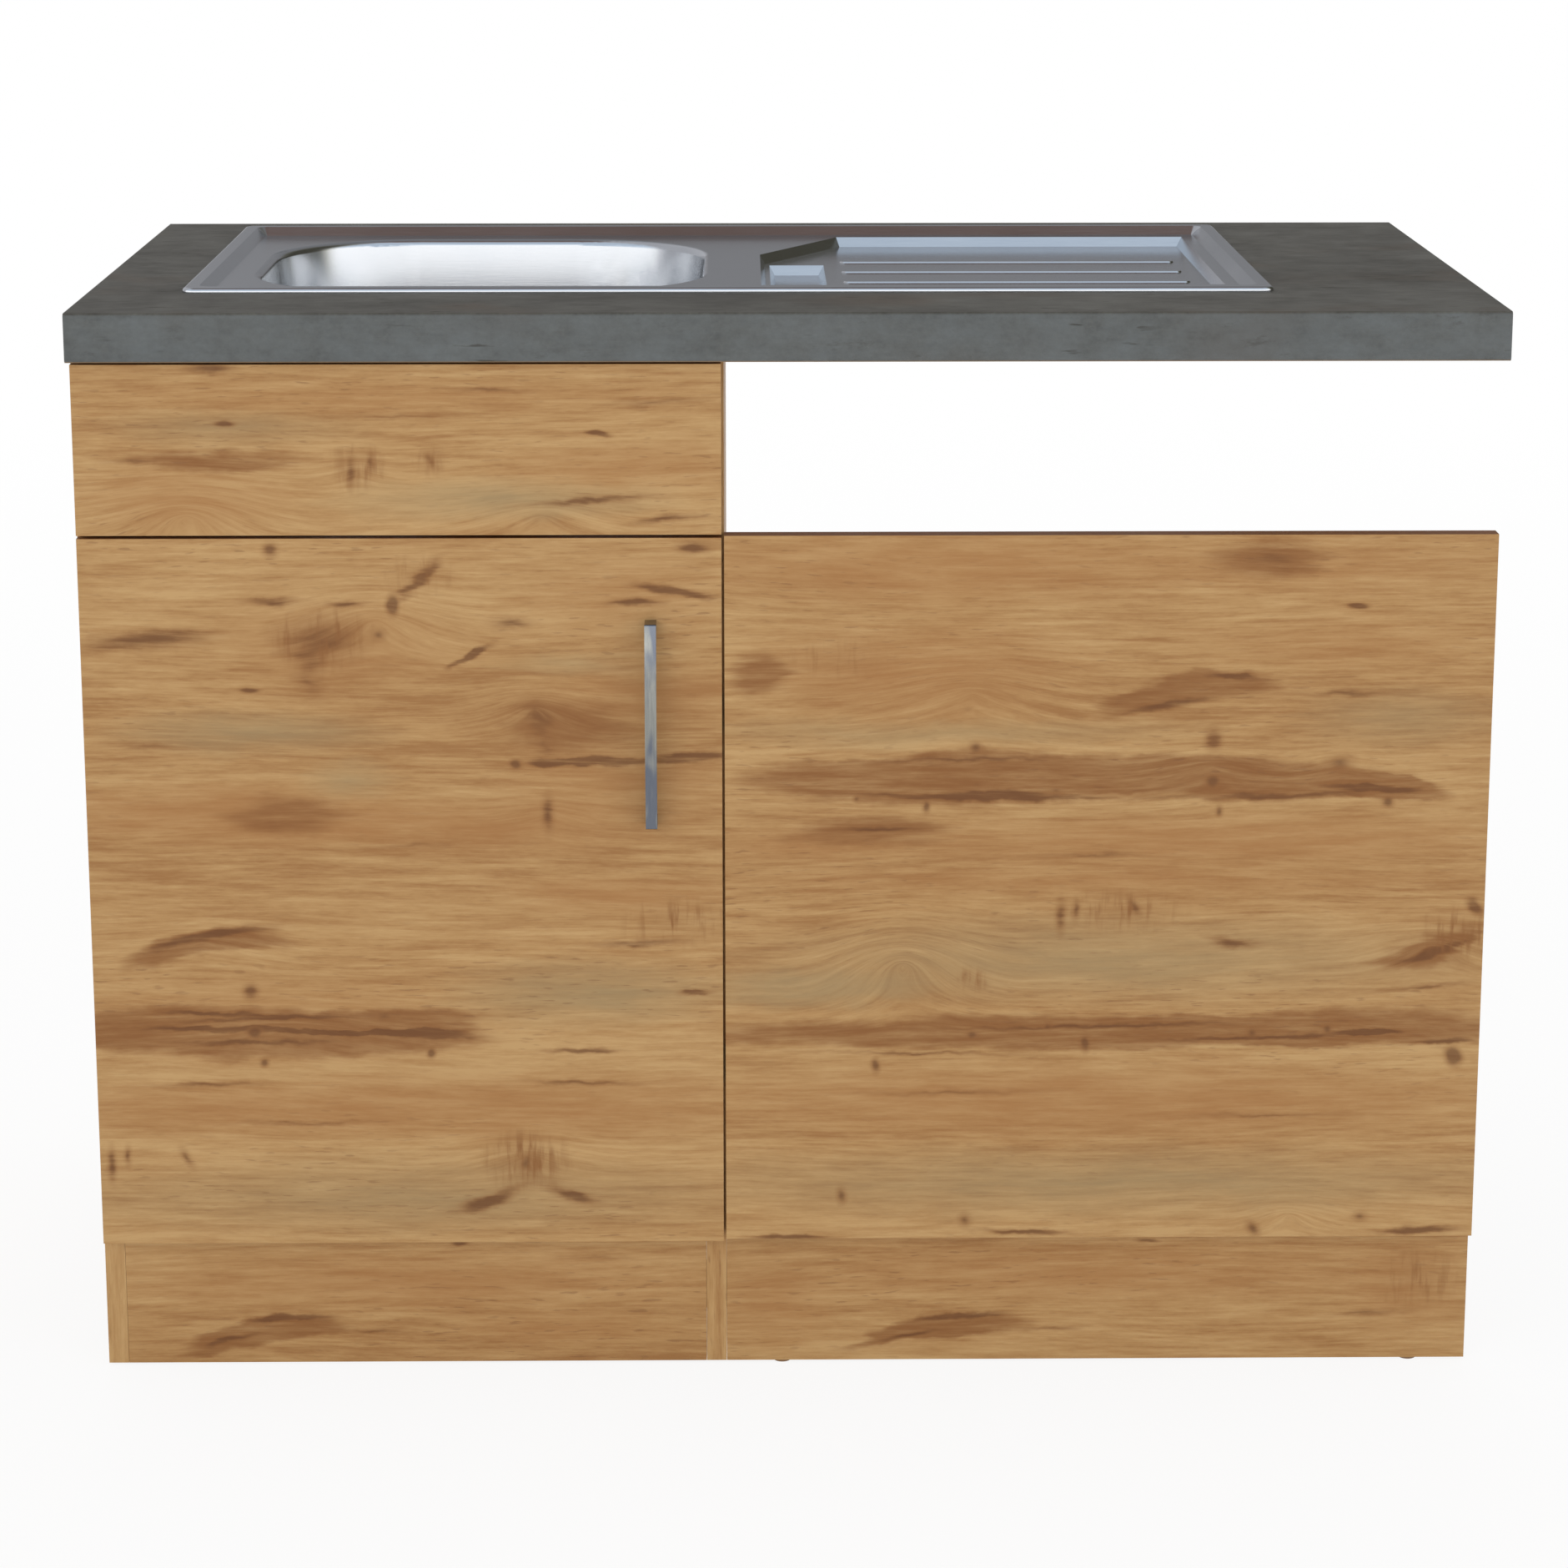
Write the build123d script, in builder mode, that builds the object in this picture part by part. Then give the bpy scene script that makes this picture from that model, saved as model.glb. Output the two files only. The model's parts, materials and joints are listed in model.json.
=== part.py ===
from build123d import *
import os
from math import cos, radians, sin, tan

os.makedirs("parts", exist_ok=True)

# Kitchen sink unit: a 50 cm sink cabinet with a hinged door, a 110 cm worktop that also spans a
# dishwasher place with its own front and plinth, and an inset steel sink with drainer and drain.
# Origin: on the floor, at the middle of the overall outline. +X right, +Y to the wall, +Z up.

# ---------------------------------------------------------------- driving dimensions (mm)
# Worktop and cabinet
worktop_width = 1100.0
worktop_depth = 600.0
worktop_thickness = 38.0
worktop_edge_radius = 3.0
end_trim_thickness = 1.0
cabinet_width = 500.0
carcass_height = 822.0
carcass_rear_gap = 22.0
board = 16.0
plinth_height = 110.0
plinth_side_gap = 0.2
plinth_end_setback = 1.3
glide_height = 2.0
glide_radius = 7.0
glide_inset = 45.0
front_rail_depth = 90.0
rear_rail_height = 100.0
rear_rail_screw_inset = 25.0
back_thickness = 3.0
back_inset = 10.0
back_groove_depth = 6.0
back_groove_play = 0.2
back_panel_height = 350.0

# Fronts
front_board = 16.0
front_setback = 10.0
front_standoff = 2.0
side_reveal = 2.0
top_reveal = 2.5
fixed_front_height = 132.5
front_split = 2.5
door_plinth_gap = 1.0
dishwasher_top_step = 1.5
dishwasher_plinth_gap = 3.0
bumper_radius = 4.0
bumper_inset = 8.0
bumper_air = 0.3

# Handle
handle_length = 163.0
handle_width = 9.0
handle_reach = 25.0
handle_end_reach = 18.0
handle_leg = 8.0
handle_bar = 6.5
handle_edge_radius = 1.6
handle_from_edge = 55.0
handle_from_top = 64.5
handle_screw_radius = 2.0
handle_screw_grip = 8.0
handle_screw_head_radius = 4.0
handle_screw_head = 2.5

# Concealed hinges
hinge_inset = 90.0
cup_radius = 17.5
cup_edge_distance = 4.0
cup_depth = 12.0
cup_wall = 1.0
cup_play = 0.15
cup_flange = 1.2
cup_wing_length = 62.0
cup_wing_width = 14.0
cup_wing_corner = 3.5
cup_screw_offset = 5.5
cup_screw_spacing = 48.0
plate_setback = 37.0
plate_thickness = 3.5
plate_length = 50.0
plate_width = 26.0
plate_spine_width = 13.0
plate_screw_spacing = 32.0
arm_height = 12.0
arm_nose = 4.8
arm_side_gap = 0.5
arm_thickness = 6.0
arm_tail = 14.0
arm_crank_start = 15.0
arm_crank_length = 7.0
pivot_depth = 3.0
pivot_radius = 1.2
pivot_play = 0.05
link_height = 8.0
link_slot_play = 0.2
link_slot_depth = 3.6
link_reach = 18.0
link_width = 3.0
link_rest_angle = -8.0

# Brackets and fasteners
bracket_thickness = 2.0
bracket_leg = 30.0
bracket_short_leg = 18.0
bracket_width = 30.0
bracket_hole_radius = 2.2
dishwasher_side_bracket_inset = 143.0
dishwasher_foot_from_left = 200.0
dishwasher_foot_from_right = 75.0
worktop_bracket_inset = 125.0
screw_radius = 1.75
screw_length = 12.0
screw_head_radius = 3.6
screw_head = 1.8
pilot_play = 0.1
carcass_screw_radius = 3.3
carcass_screw_length = 48.0
carcass_screw_head_radius = 5.0
carcass_screw_head = 4.0
carcass_screw_inset = 40.0
carcass_screw_play = 0.15
cap_radius = 6.5
cap_thickness = 0.8
worktop_screw_bite = 20.0
worktop_screw_inset = 83.0

# Sink
sink_width = 860.0
sink_from_left = 74.0
sink_from_front = 117.0
sink_from_rear = 48.0
sink_corner_radius = 9.0
sheet = 1.0
rim_width = 12.0
rim_rise = 4.0
lip_air = 0.15
deck_drop = 3.0
rim_slope = 48.0
cutout_overlap = 12.0
cutout_corner_radius = 8.0
bowl_from_left = 46.0
bowl_from_front = 41.0
bowl_width = 363.0
bowl_from_rear = 54.0
bowl_corner_radius = 112.0
bowl_depth = 150.0
bowl_draft = 7.0
bowl_lip_radius = 6.0
bowl_floor_radius = 28.0
drainer_from_left = 456.0
drainer_from_right = 31.0
drainer_from_front = 70.0
drainer_from_rear = 37.0
drainer_notch_width = 68.0
drainer_notch_depth = 126.0
drainer_depth = 8.0
drainer_draft = 30.0
rib_count = 4
rib_from_front = 82.0
rib_to_drainer_rear = 116.5
rib_from_left = 524.0
rib_to_drainer_end = 19.0
rib_width = 11.0
rib_height = 1.2
rib_draft = 38.0
tray_from_left = 464.0
tray_from_front = 84.0
tray_width = 46.0
tray_to_notch = 10.0
tray_depth = 8.0
tray_draft = 30.0
pocket_inset = 5.0
pocket_length = 96.0
pocket_depth = 7.0
pocket_draft = 20.0
seal_width = 7.0
seal_from_lip = 0.4

# Sink clips
clip_width = 16.0
clip_sheet = 1.5
clip_air = 0.6
clip_foot = 9.0
clip_foot_drop = 2.0
clip_screw_radius = 1.5
clip_screw_head_radius = 2.8
clip_screw_head = 1.5
clip_end_inset = 90.0

# Basket strainer and waste
waste_hole_radius = 45.0
waste_flange_radius = 56.0
waste_recess_depth = 2.0
waste_recess_play = 1.5
waste_flange_thickness = 1.2
waste_cup_radius = 43.5
waste_cup_depth = 34.0
waste_drain_radius = 4.5
waste_drain_ring = 13.5
waste_drain_count = 6
waste_gasket_thickness = 2.0
waste_body_collar = 3.0
waste_body_play = 0.7
waste_body_wall = 2.8
waste_body_floor = 4.0
waste_floor_air = 3.0
waste_spigot_radius = 23.0
waste_spigot_length = 20.0
waste_screw_radius = 2.5
waste_screw_head_radius = 6.0
waste_screw_head = 1.6
waste_screw_length = 14.0
waste_bar_width = 5.0
waste_boss_radius = 6.0
basket_radius = 38.0
basket_wall = 1.0
basket_height = 27.0
basket_seat_air = 0.3
basket_seal_inner = 22.0
basket_seal_outer = 32.0
basket_seal_thickness = 2.0
basket_stem_radius = 2.5
basket_stem_height = 30.0
basket_knob_radius = 9.0
basket_knob_height = 5.0
basket_knob_round = 1.6
basket_hole_radius = 2.4
basket_row_pitch = 9.0
basket_floor_hole_radius = 1.5
basket_hole_count = 16

# Overflow
overflow_drop = 36.0
overflow_hole_radius = 12.0
overflow_plate_radius = 15.5
overflow_plate_thickness = 1.2
overflow_neck_radius = 4.0
overflow_grille_ring = 8.0
overflow_grille_hole_radius = 3.0
overflow_grille_hole_count = 6
overflow_elbow_radius = 15.0
overflow_elbow_depth = 22.0
overflow_elbow_wall = 2.0
overflow_spigot_length = 30.0
overflow_pipe_radius = 10.0
overflow_pipe_wall = 1.5
overflow_bend_radius = 26.0
overflow_port_drop = 20.0
overflow_port_length = 16.0

# Bottle trap
pipe_radius = 20.0
pipe_wall = 1.8
outlet_spigot_length = 8.0
outlet_spigot_step = 0.5
tail_pipe_length = 95.0
trap_top_drop = 45.0
trap_body_height = 58.0
trap_body_radius = 34.0
trap_wall = 3.0
trap_neck_height = 14.0
trap_neck_radius = 26.0
trap_port_radius = 24.0
trap_port_reach = 52.0
trap_port_drop = 26.0
trap_cup_height = 46.0
trap_cup_radius = 37.0
trap_grip_height = 18.0
nut_height = 16.0
nut_wall = 5.5
nut_lip = 5.0
nut_flat_count = 12
nut_play = 0.15

# ---------------------------------------------------------------- places worked out from them
left_x = -worktop_width / 2
right_x = worktop_width / 2
cabinet_right_x = left_x + cabinet_width
inner_left_x = left_x + board
inner_right_x = cabinet_right_x - board
rear_y = (worktop_depth + handle_reach - front_setback) / 2
front_y = rear_y - worktop_depth
door_face_y = front_y + front_setback
door_back_y = door_face_y + front_board
carcass_front_y = door_back_y + front_standoff
carcass_rear_y = rear_y - carcass_rear_gap
plinth_back_y = carcass_front_y + board
worktop_top_z = carcass_height + worktop_thickness
bottom_top_z = plinth_height + board
rail_under_z = carcass_height - board

sub_parts = {}


def block(low, high, mode=Mode.ADD):
    """A rectangular block from its low corner to its high corner."""
    with Locations((Vector(*low) + Vector(*high)) / 2):
        Box(*[b - a for a, b in zip(low, high)], mode=mode)


def turned(profile, axis_point):
    """Revolve the polygon of (radius, height) points about the upright axis through a point."""
    x, y = axis_point
    with BuildSketch(Plane(origin=(x, y, 0), x_dir=(1, 0, 0), z_dir=(0, -1, 0))) as half_section:
        Polygon(*profile, align=None)
    revolve(half_section.sketch, axis=Axis((x, y, 0), (0, 0, 1)))


def drill(planes, radius, depth):
    """Blind round holes, each from a plane's origin along its normal."""
    with Locations(*planes):
        Cylinder(radius, depth, align=(Align.CENTER, Align.CENTER, Align.MIN), mode=Mode.SUBTRACT)


def pan_screws(planes, radius, length, head_radius, head_height):
    """Screws whose heads stand on the planes and whose shanks run along their normals."""
    with Locations(*planes):
        Cylinder(radius, length, align=(Align.CENTER, Align.CENTER, Align.MIN))
        Cylinder(head_radius, head_height, align=(Align.CENTER, Align.CENTER, Align.MAX))


# ---------------------------------------------------------------- angle brackets and their screws
class Bracket:
    """A steel angle: leg A runs along one direction, leg B along another, from a corner."""

    def __init__(self, corner, leg_a_way, leg_b_way, leg_a=bracket_leg, leg_b=bracket_leg):
        self.corner = Vector(*corner)
        self.a_way = Vector(*leg_a_way)
        self.b_way = Vector(*leg_b_way)
        self.legs = (leg_a, leg_b)

    def screw_planes(self, lift=bracket_thickness):
        """One plane on each leg's open side, facing the board behind that leg."""
        leg_a, leg_b = self.legs
        reach_a = leg_a / 2 + bracket_thickness
        reach_b = leg_b / 2 + bracket_thickness
        on_a = self.corner + self.a_way * reach_a + self.b_way * lift
        on_b = self.corner + self.b_way * reach_b + self.a_way * lift
        return [Plane(origin=on_a, z_dir=-self.b_way), Plane(origin=on_b, z_dir=-self.a_way)]

    def make(self):
        leg_a, leg_b = self.legs
        t = bracket_thickness
        outline = [(0, 0), (leg_a, 0), (leg_a, t), (t, t), (t, leg_b), (0, leg_b)]
        across = self.a_way.cross(self.b_way)
        with BuildSketch(Plane(origin=self.corner, x_dir=self.a_way, z_dir=across)) as section:
            Polygon(*outline, align=None)
        extrude(section.sketch, amount=bracket_width / 2, both=True)


fixed_front_low_z = carcass_height - top_reveal - fixed_front_height
fixed_front_mid_z = fixed_front_low_z + fixed_front_height / 2
door_low_z = plinth_height + door_plinth_gap
door_high_z = fixed_front_low_z - front_split
dishwasher_low_z = plinth_height + dishwasher_plinth_gap
dishwasher_high_z = door_high_z + dishwasher_top_step
dishwasher_left_x = cabinet_right_x
dishwasher_right_x = right_x - side_reveal
plinth_mid_z = (glide_height + plinth_height) / 2
rear_rail_front_y = carcass_rear_y - board

fixed_front_brackets = [
    Bracket((inner_left_x, door_back_y, fixed_front_mid_z), (1, 0, 0), (0, 1, 0)),
    Bracket((inner_right_x, door_back_y, fixed_front_mid_z), (-1, 0, 0), (0, 1, 0)),
]
dishwasher_side_heights = (
    dishwasher_low_z + dishwasher_side_bracket_inset,
    dishwasher_high_z - dishwasher_side_bracket_inset,
)
dishwasher_brackets = [
    Bracket((cabinet_right_x, door_back_y, z), (1, 0, 0), (0, 1, 0)) for z in dishwasher_side_heights
]
dishwasher_brackets += [
    Bracket((x, door_back_y, plinth_height), (0, 1, 0), (0, 0, 1), leg_a=bracket_short_leg)
    for x in (
        dishwasher_left_x + dishwasher_foot_from_left,
        dishwasher_right_x - dishwasher_foot_from_right,
    )
]
plinth_brackets = [
    Bracket((inner_left_x, plinth_back_y, plinth_mid_z), (1, 0, 0), (0, 1, 0)),
    Bracket((inner_right_x, plinth_back_y, plinth_mid_z), (-1, 0, 0), (0, 1, 0)),
    Bracket((cabinet_right_x, plinth_back_y, plinth_mid_z), (1, 0, 0), (0, 1, 0)),
]
worktop_brackets = [
    Bracket((x, rear_rail_front_y, carcass_height), (0, -1, 0), (0, 0, -1), leg_a=bracket_short_leg)
    for x in (inner_left_x + worktop_bracket_inset, inner_right_x - worktop_bracket_inset)
]
bracket_groups = {
    "fixed_front_brackets": fixed_front_brackets,
    "dishwasher_brackets": dishwasher_brackets,
    "plinth_brackets": plinth_brackets,
    "worktop_brackets": worktop_brackets,
}
all_brackets = [bracket for group in bracket_groups.values() for bracket in group]
bracket_screw_planes = [plane for bracket in all_brackets for plane in bracket.screw_planes()]
bracket_pilot_planes = [plane for bracket in all_brackets for plane in bracket.screw_planes(lift=0)]


def pilot_holes():
    """Pilot holes of every bracket screw: each board keeps the ones that reach it."""
    drill(bracket_pilot_planes, screw_radius + pilot_play, screw_length)


for group_name, brackets in bracket_groups.items():
    with BuildPart() as bracket_set:
        for bracket in brackets:
            bracket.make()
        for bracket in brackets:
            drill(bracket.screw_planes(), bracket_hole_radius, bracket_thickness)
    sub_parts[group_name] = bracket_set

with BuildPart() as bracket_screws:
    pan_screws(
        bracket_screw_planes, screw_radius, screw_length, screw_head_radius, screw_head
    )
sub_parts["bracket_screws"] = bracket_screws

# ---------------------------------------------------------------- carcass
# The side panels stand on glides and run past the bottom panel to the floor. Chipboard screws go
# through them into the bottom panel and the two rails.
bottom_screw_ys = (carcass_front_y + carcass_screw_inset, carcass_rear_y - carcass_screw_inset)
front_rail_screw_y = carcass_front_y + front_rail_depth / 2
rear_rail_mid_y = carcass_rear_y - board / 2
rear_rail_low_z = carcass_height - rear_rail_height
carcass_screw_spots = [(y, plinth_height + board / 2) for y in bottom_screw_ys]
carcass_screw_spots += [(front_rail_screw_y, carcass_height - board / 2)]
carcass_screw_spots += [
    (rear_rail_mid_y, z)
    for z in (rear_rail_low_z + rear_rail_screw_inset, carcass_height - rear_rail_screw_inset)
]
cap_planes = [
    Plane(origin=(x, y, z), z_dir=(way, 0, 0))
    for x, way in ((left_x, 1), (cabinet_right_x, -1))
    for y, z in carcass_screw_spots
]
carcass_screw_planes = [plane.offset(cap_thickness) for plane in cap_planes]
back_front_y = carcass_rear_y - back_inset - back_thickness
back_rear_y = carcass_rear_y - back_inset
back_top_z = bottom_top_z + back_panel_height
plate_mid_y = carcass_front_y + plate_setback
hinge_heights = {"lower": door_low_z + hinge_inset, "upper": door_high_z - hinge_inset}
plate_screw_planes = [
    Plane(origin=(inner_left_x + plate_thickness, plate_mid_y, z + step), z_dir=(-1, 0, 0))
    for z in hinge_heights.values()
    for step in (-plate_screw_spacing / 2, plate_screw_spacing / 2)
]


def carcass_screw_holes():
    """Clearance holes with countersinks where the chipboard screws pass."""
    drill(carcass_screw_planes, carcass_screw_radius + carcass_screw_play, carcass_screw_length)
    drill(
        carcass_screw_planes,
        carcass_screw_head_radius + carcass_screw_play,
        carcass_screw_head,
    )
    drill(cap_planes, cap_radius + carcass_screw_play, cap_thickness)


def back_groove(low, high):
    """The groove that holds the back panel, cut from a low corner to a high corner."""
    play = back_groove_play
    block(
        (low[0] - play, back_front_y - play, low[1] - play),
        (high[0] + play, back_rear_y + play, high[1] + play),
        mode=Mode.SUBTRACT,
    )


back_low = (inner_left_x - back_groove_depth, bottom_top_z - back_groove_depth)
back_high = (inner_right_x + back_groove_depth, back_top_z)

with BuildPart() as side_panel_left:
    block((left_x, carcass_front_y, glide_height), (inner_left_x, carcass_rear_y, carcass_height))
    carcass_screw_holes()
    pilot_holes()
    drill(plate_screw_planes, screw_radius + pilot_play, screw_length)
    back_groove(back_low, back_high)
sub_parts["side_panel_left"] = side_panel_left

with BuildPart() as side_panel_right:
    block(
        (inner_right_x, carcass_front_y, glide_height),
        (cabinet_right_x, carcass_rear_y, carcass_height),
    )
    carcass_screw_holes()
    pilot_holes()
    back_groove(back_low, back_high)
sub_parts["side_panel_right"] = side_panel_right

with BuildPart() as bottom_panel:
    block(
        (inner_left_x, carcass_front_y, plinth_height),
        (inner_right_x, carcass_rear_y, bottom_top_z),
    )
    carcass_screw_holes()
    back_groove(back_low, back_high)
sub_parts["bottom_panel"] = bottom_panel

front_rail_rear_y = carcass_front_y + front_rail_depth
worktop_screw_planes = [
    Plane(origin=(x, front_rail_screw_y, rail_under_z), z_dir=(0, 0, 1))
    for x in (inner_left_x + worktop_screw_inset, inner_right_x - worktop_screw_inset)
]
with BuildPart() as front_rail:
    block(
        (inner_left_x, carcass_front_y, rail_under_z),
        (inner_right_x, front_rail_rear_y, carcass_height),
    )
    carcass_screw_holes()
    drill(worktop_screw_planes, screw_radius + pilot_play, board)
sub_parts["front_rail"] = front_rail

with BuildPart() as rear_rail:
    block(
        (inner_left_x, rear_rail_front_y, rear_rail_low_z),
        (inner_right_x, carcass_rear_y, carcass_height),
    )
    carcass_screw_holes()
    pilot_holes()
sub_parts["rear_rail"] = rear_rail

with BuildPart() as back_panel:
    block(
        (back_low[0], back_front_y, back_low[1]),
        (back_high[0], back_rear_y, back_high[1]),
    )
sub_parts["back_panel"] = back_panel

with BuildPart() as carcass_screws:
    with Locations(*carcass_screw_planes):
        Cylinder(
            carcass_screw_radius,
            carcass_screw_length,
            align=(Align.CENTER, Align.CENTER, Align.MIN),
        )
        Cylinder(
            carcass_screw_head_radius,
            carcass_screw_head,
            align=(Align.CENTER, Align.CENTER, Align.MIN),
        )
sub_parts["carcass_screws"] = carcass_screws

with BuildPart() as screw_caps:
    with Locations(*cap_planes):
        Cylinder(cap_radius, cap_thickness, align=(Align.CENTER, Align.CENTER, Align.MIN))
sub_parts["screw_caps"] = screw_caps

plinth_right_end_x = right_x - plinth_end_setback
glide_spots = [
    (x, y)
    for x in (left_x + board / 2, cabinet_right_x - board / 2)
    for y in (carcass_front_y + glide_inset, carcass_rear_y - glide_inset)
]
glide_spots += [
    (x, carcass_front_y + board / 2)
    for x in (cabinet_right_x + glide_inset, plinth_right_end_x - glide_inset)
]
with BuildPart() as panel_glides:
    with Locations(*glide_spots):
        Cylinder(glide_radius, glide_height, align=(Align.CENTER, Align.CENTER, Align.MIN))
sub_parts["panel_glides"] = panel_glides

with BuildPart() as plinth_left:
    block(
        (inner_left_x + plinth_side_gap, carcass_front_y, glide_height),
        (inner_right_x - plinth_side_gap, plinth_back_y, plinth_height),
    )
    pilot_holes()
sub_parts["plinth_left"] = plinth_left

with BuildPart() as plinth_right:
    block(
        (cabinet_right_x + plinth_side_gap, carcass_front_y, glide_height),
        (plinth_right_end_x, plinth_back_y, plinth_height),
    )
    pilot_holes()
sub_parts["plinth_right"] = plinth_right

# ---------------------------------------------------------------- fronts
door_left_x = left_x + side_reveal
door_right_x = cabinet_right_x - side_reveal
cup_x = door_left_x + cup_edge_distance + cup_radius
cup_screw_x = cup_x + cup_screw_offset
cup_screw_spots = [
    (cup_screw_x, z + step)
    for z in hinge_heights.values()
    for step in (-cup_screw_spacing / 2, cup_screw_spacing / 2)
]
handle_x = door_right_x - handle_from_edge
handle_high_z = door_high_z - handle_from_top
handle_mid_z = handle_high_z - handle_length / 2
handle_screw_step = (handle_length - handle_leg) / 2
handle_screw_planes = [
    Plane(origin=(handle_x, door_back_y, handle_mid_z + way * handle_screw_step), z_dir=(0, -1, 0))
    for way in (-1, 1)
]

with BuildPart() as fixed_front:
    block(
        (door_left_x, door_face_y, fixed_front_low_z),
        (door_right_x, door_back_y, fixed_front_low_z + fixed_front_height),
    )
    pilot_holes()
sub_parts["fixed_front"] = fixed_front

with BuildPart() as door_panel:
    block((door_left_x, door_face_y, door_low_z), (door_right_x, door_back_y, door_high_z))
    drill(
        [Plane(origin=(cup_x, door_back_y, z), z_dir=(0, -1, 0)) for z in hinge_heights.values()],
        cup_radius + cup_play,
        cup_depth + cup_play,
    )
    drill(
        [Plane(origin=(x, door_back_y, z), z_dir=(0, -1, 0)) for x, z in cup_screw_spots],
        screw_radius + pilot_play,
        screw_length,
    )
    drill(handle_screw_planes, handle_screw_radius + pilot_play, front_board)
sub_parts["door_panel"] = door_panel

with BuildPart() as dishwasher_front:
    block(
        (dishwasher_left_x, door_face_y, dishwasher_low_z),
        (dishwasher_right_x, door_back_y, dishwasher_high_z),
    )
    pilot_holes()
sub_parts["dishwasher_front"] = dishwasher_front

bumper_x = cabinet_right_x - bumper_inset
with BuildPart() as door_bumpers:
    with Locations(
        *[
            Plane(origin=(bumper_x, door_back_y, z), z_dir=(0, 1, 0))
            for z in (door_low_z + hinge_inset, door_high_z - hinge_inset)
        ]
    ):
        Cylinder(
            bumper_radius,
            front_standoff - bumper_air,
            align=(Align.CENTER, Align.CENTER, Align.MIN),
        )
sub_parts["door_bumpers"] = door_bumpers

# The handle is a gently bowed flat bar whose two ends turn back to the door.
with BuildPart() as door_handle:
    with BuildSketch(Plane.YZ.offset(handle_x)):
        with BuildLine():
            low_z = handle_mid_z - handle_length / 2
            bar_y = door_face_y - handle_end_reach
            bow_y = door_face_y - handle_reach
            outer = ThreePointArc((bar_y, low_z), (bow_y, handle_mid_z), (bar_y, handle_high_z))
            inner = ThreePointArc(
                (bar_y + handle_bar, low_z + handle_leg),
                (bow_y + handle_bar, handle_mid_z),
                (bar_y + handle_bar, handle_high_z - handle_leg),
            )
            Polyline(outer @ 0, (door_face_y, low_z), (door_face_y, low_z + handle_leg), inner @ 0)
            Polyline(
                outer @ 1,
                (door_face_y, handle_high_z),
                (door_face_y, handle_high_z - handle_leg),
                inner @ 1,
            )
        make_face()
    extrude(amount=handle_width / 2, both=True)
    drill(
        [plane.offset(front_board) for plane in handle_screw_planes],
        handle_screw_radius + pilot_play,
        handle_screw_grip,
    )
    fillet(door_handle.edges().filter_by(Axis.X).group_by(Axis.Y)[0], handle_edge_radius)
sub_parts["door_handle"] = door_handle

with BuildPart() as handle_screws:
    pan_screws(
        handle_screw_planes,
        handle_screw_radius,
        front_board + handle_screw_grip,
        handle_screw_head_radius,
        handle_screw_head,
    )
sub_parts["handle_screws"] = handle_screws

# ---------------------------------------------------------------- concealed hinges
# The cup is pressed into the door. The arm is clipped over the plate on the side panel, and the
# link turns on the pin at the arm's nose.
pivot_x = inner_left_x + arm_side_gap + arm_nose / 2
pivot_y = door_back_y - pivot_depth
plate_x = inner_left_x + plate_thickness
crank_start_y = carcass_front_y + arm_crank_start
crank_end_y = crank_start_y + arm_crank_length
arm_rear_y = plate_mid_y + arm_tail
link_tip_x = pivot_x + link_reach * cos(radians(link_rest_angle))
link_tip_y = pivot_y + link_reach * sin(radians(link_rest_angle))
link_slot = link_height / 2 + link_slot_play

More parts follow.
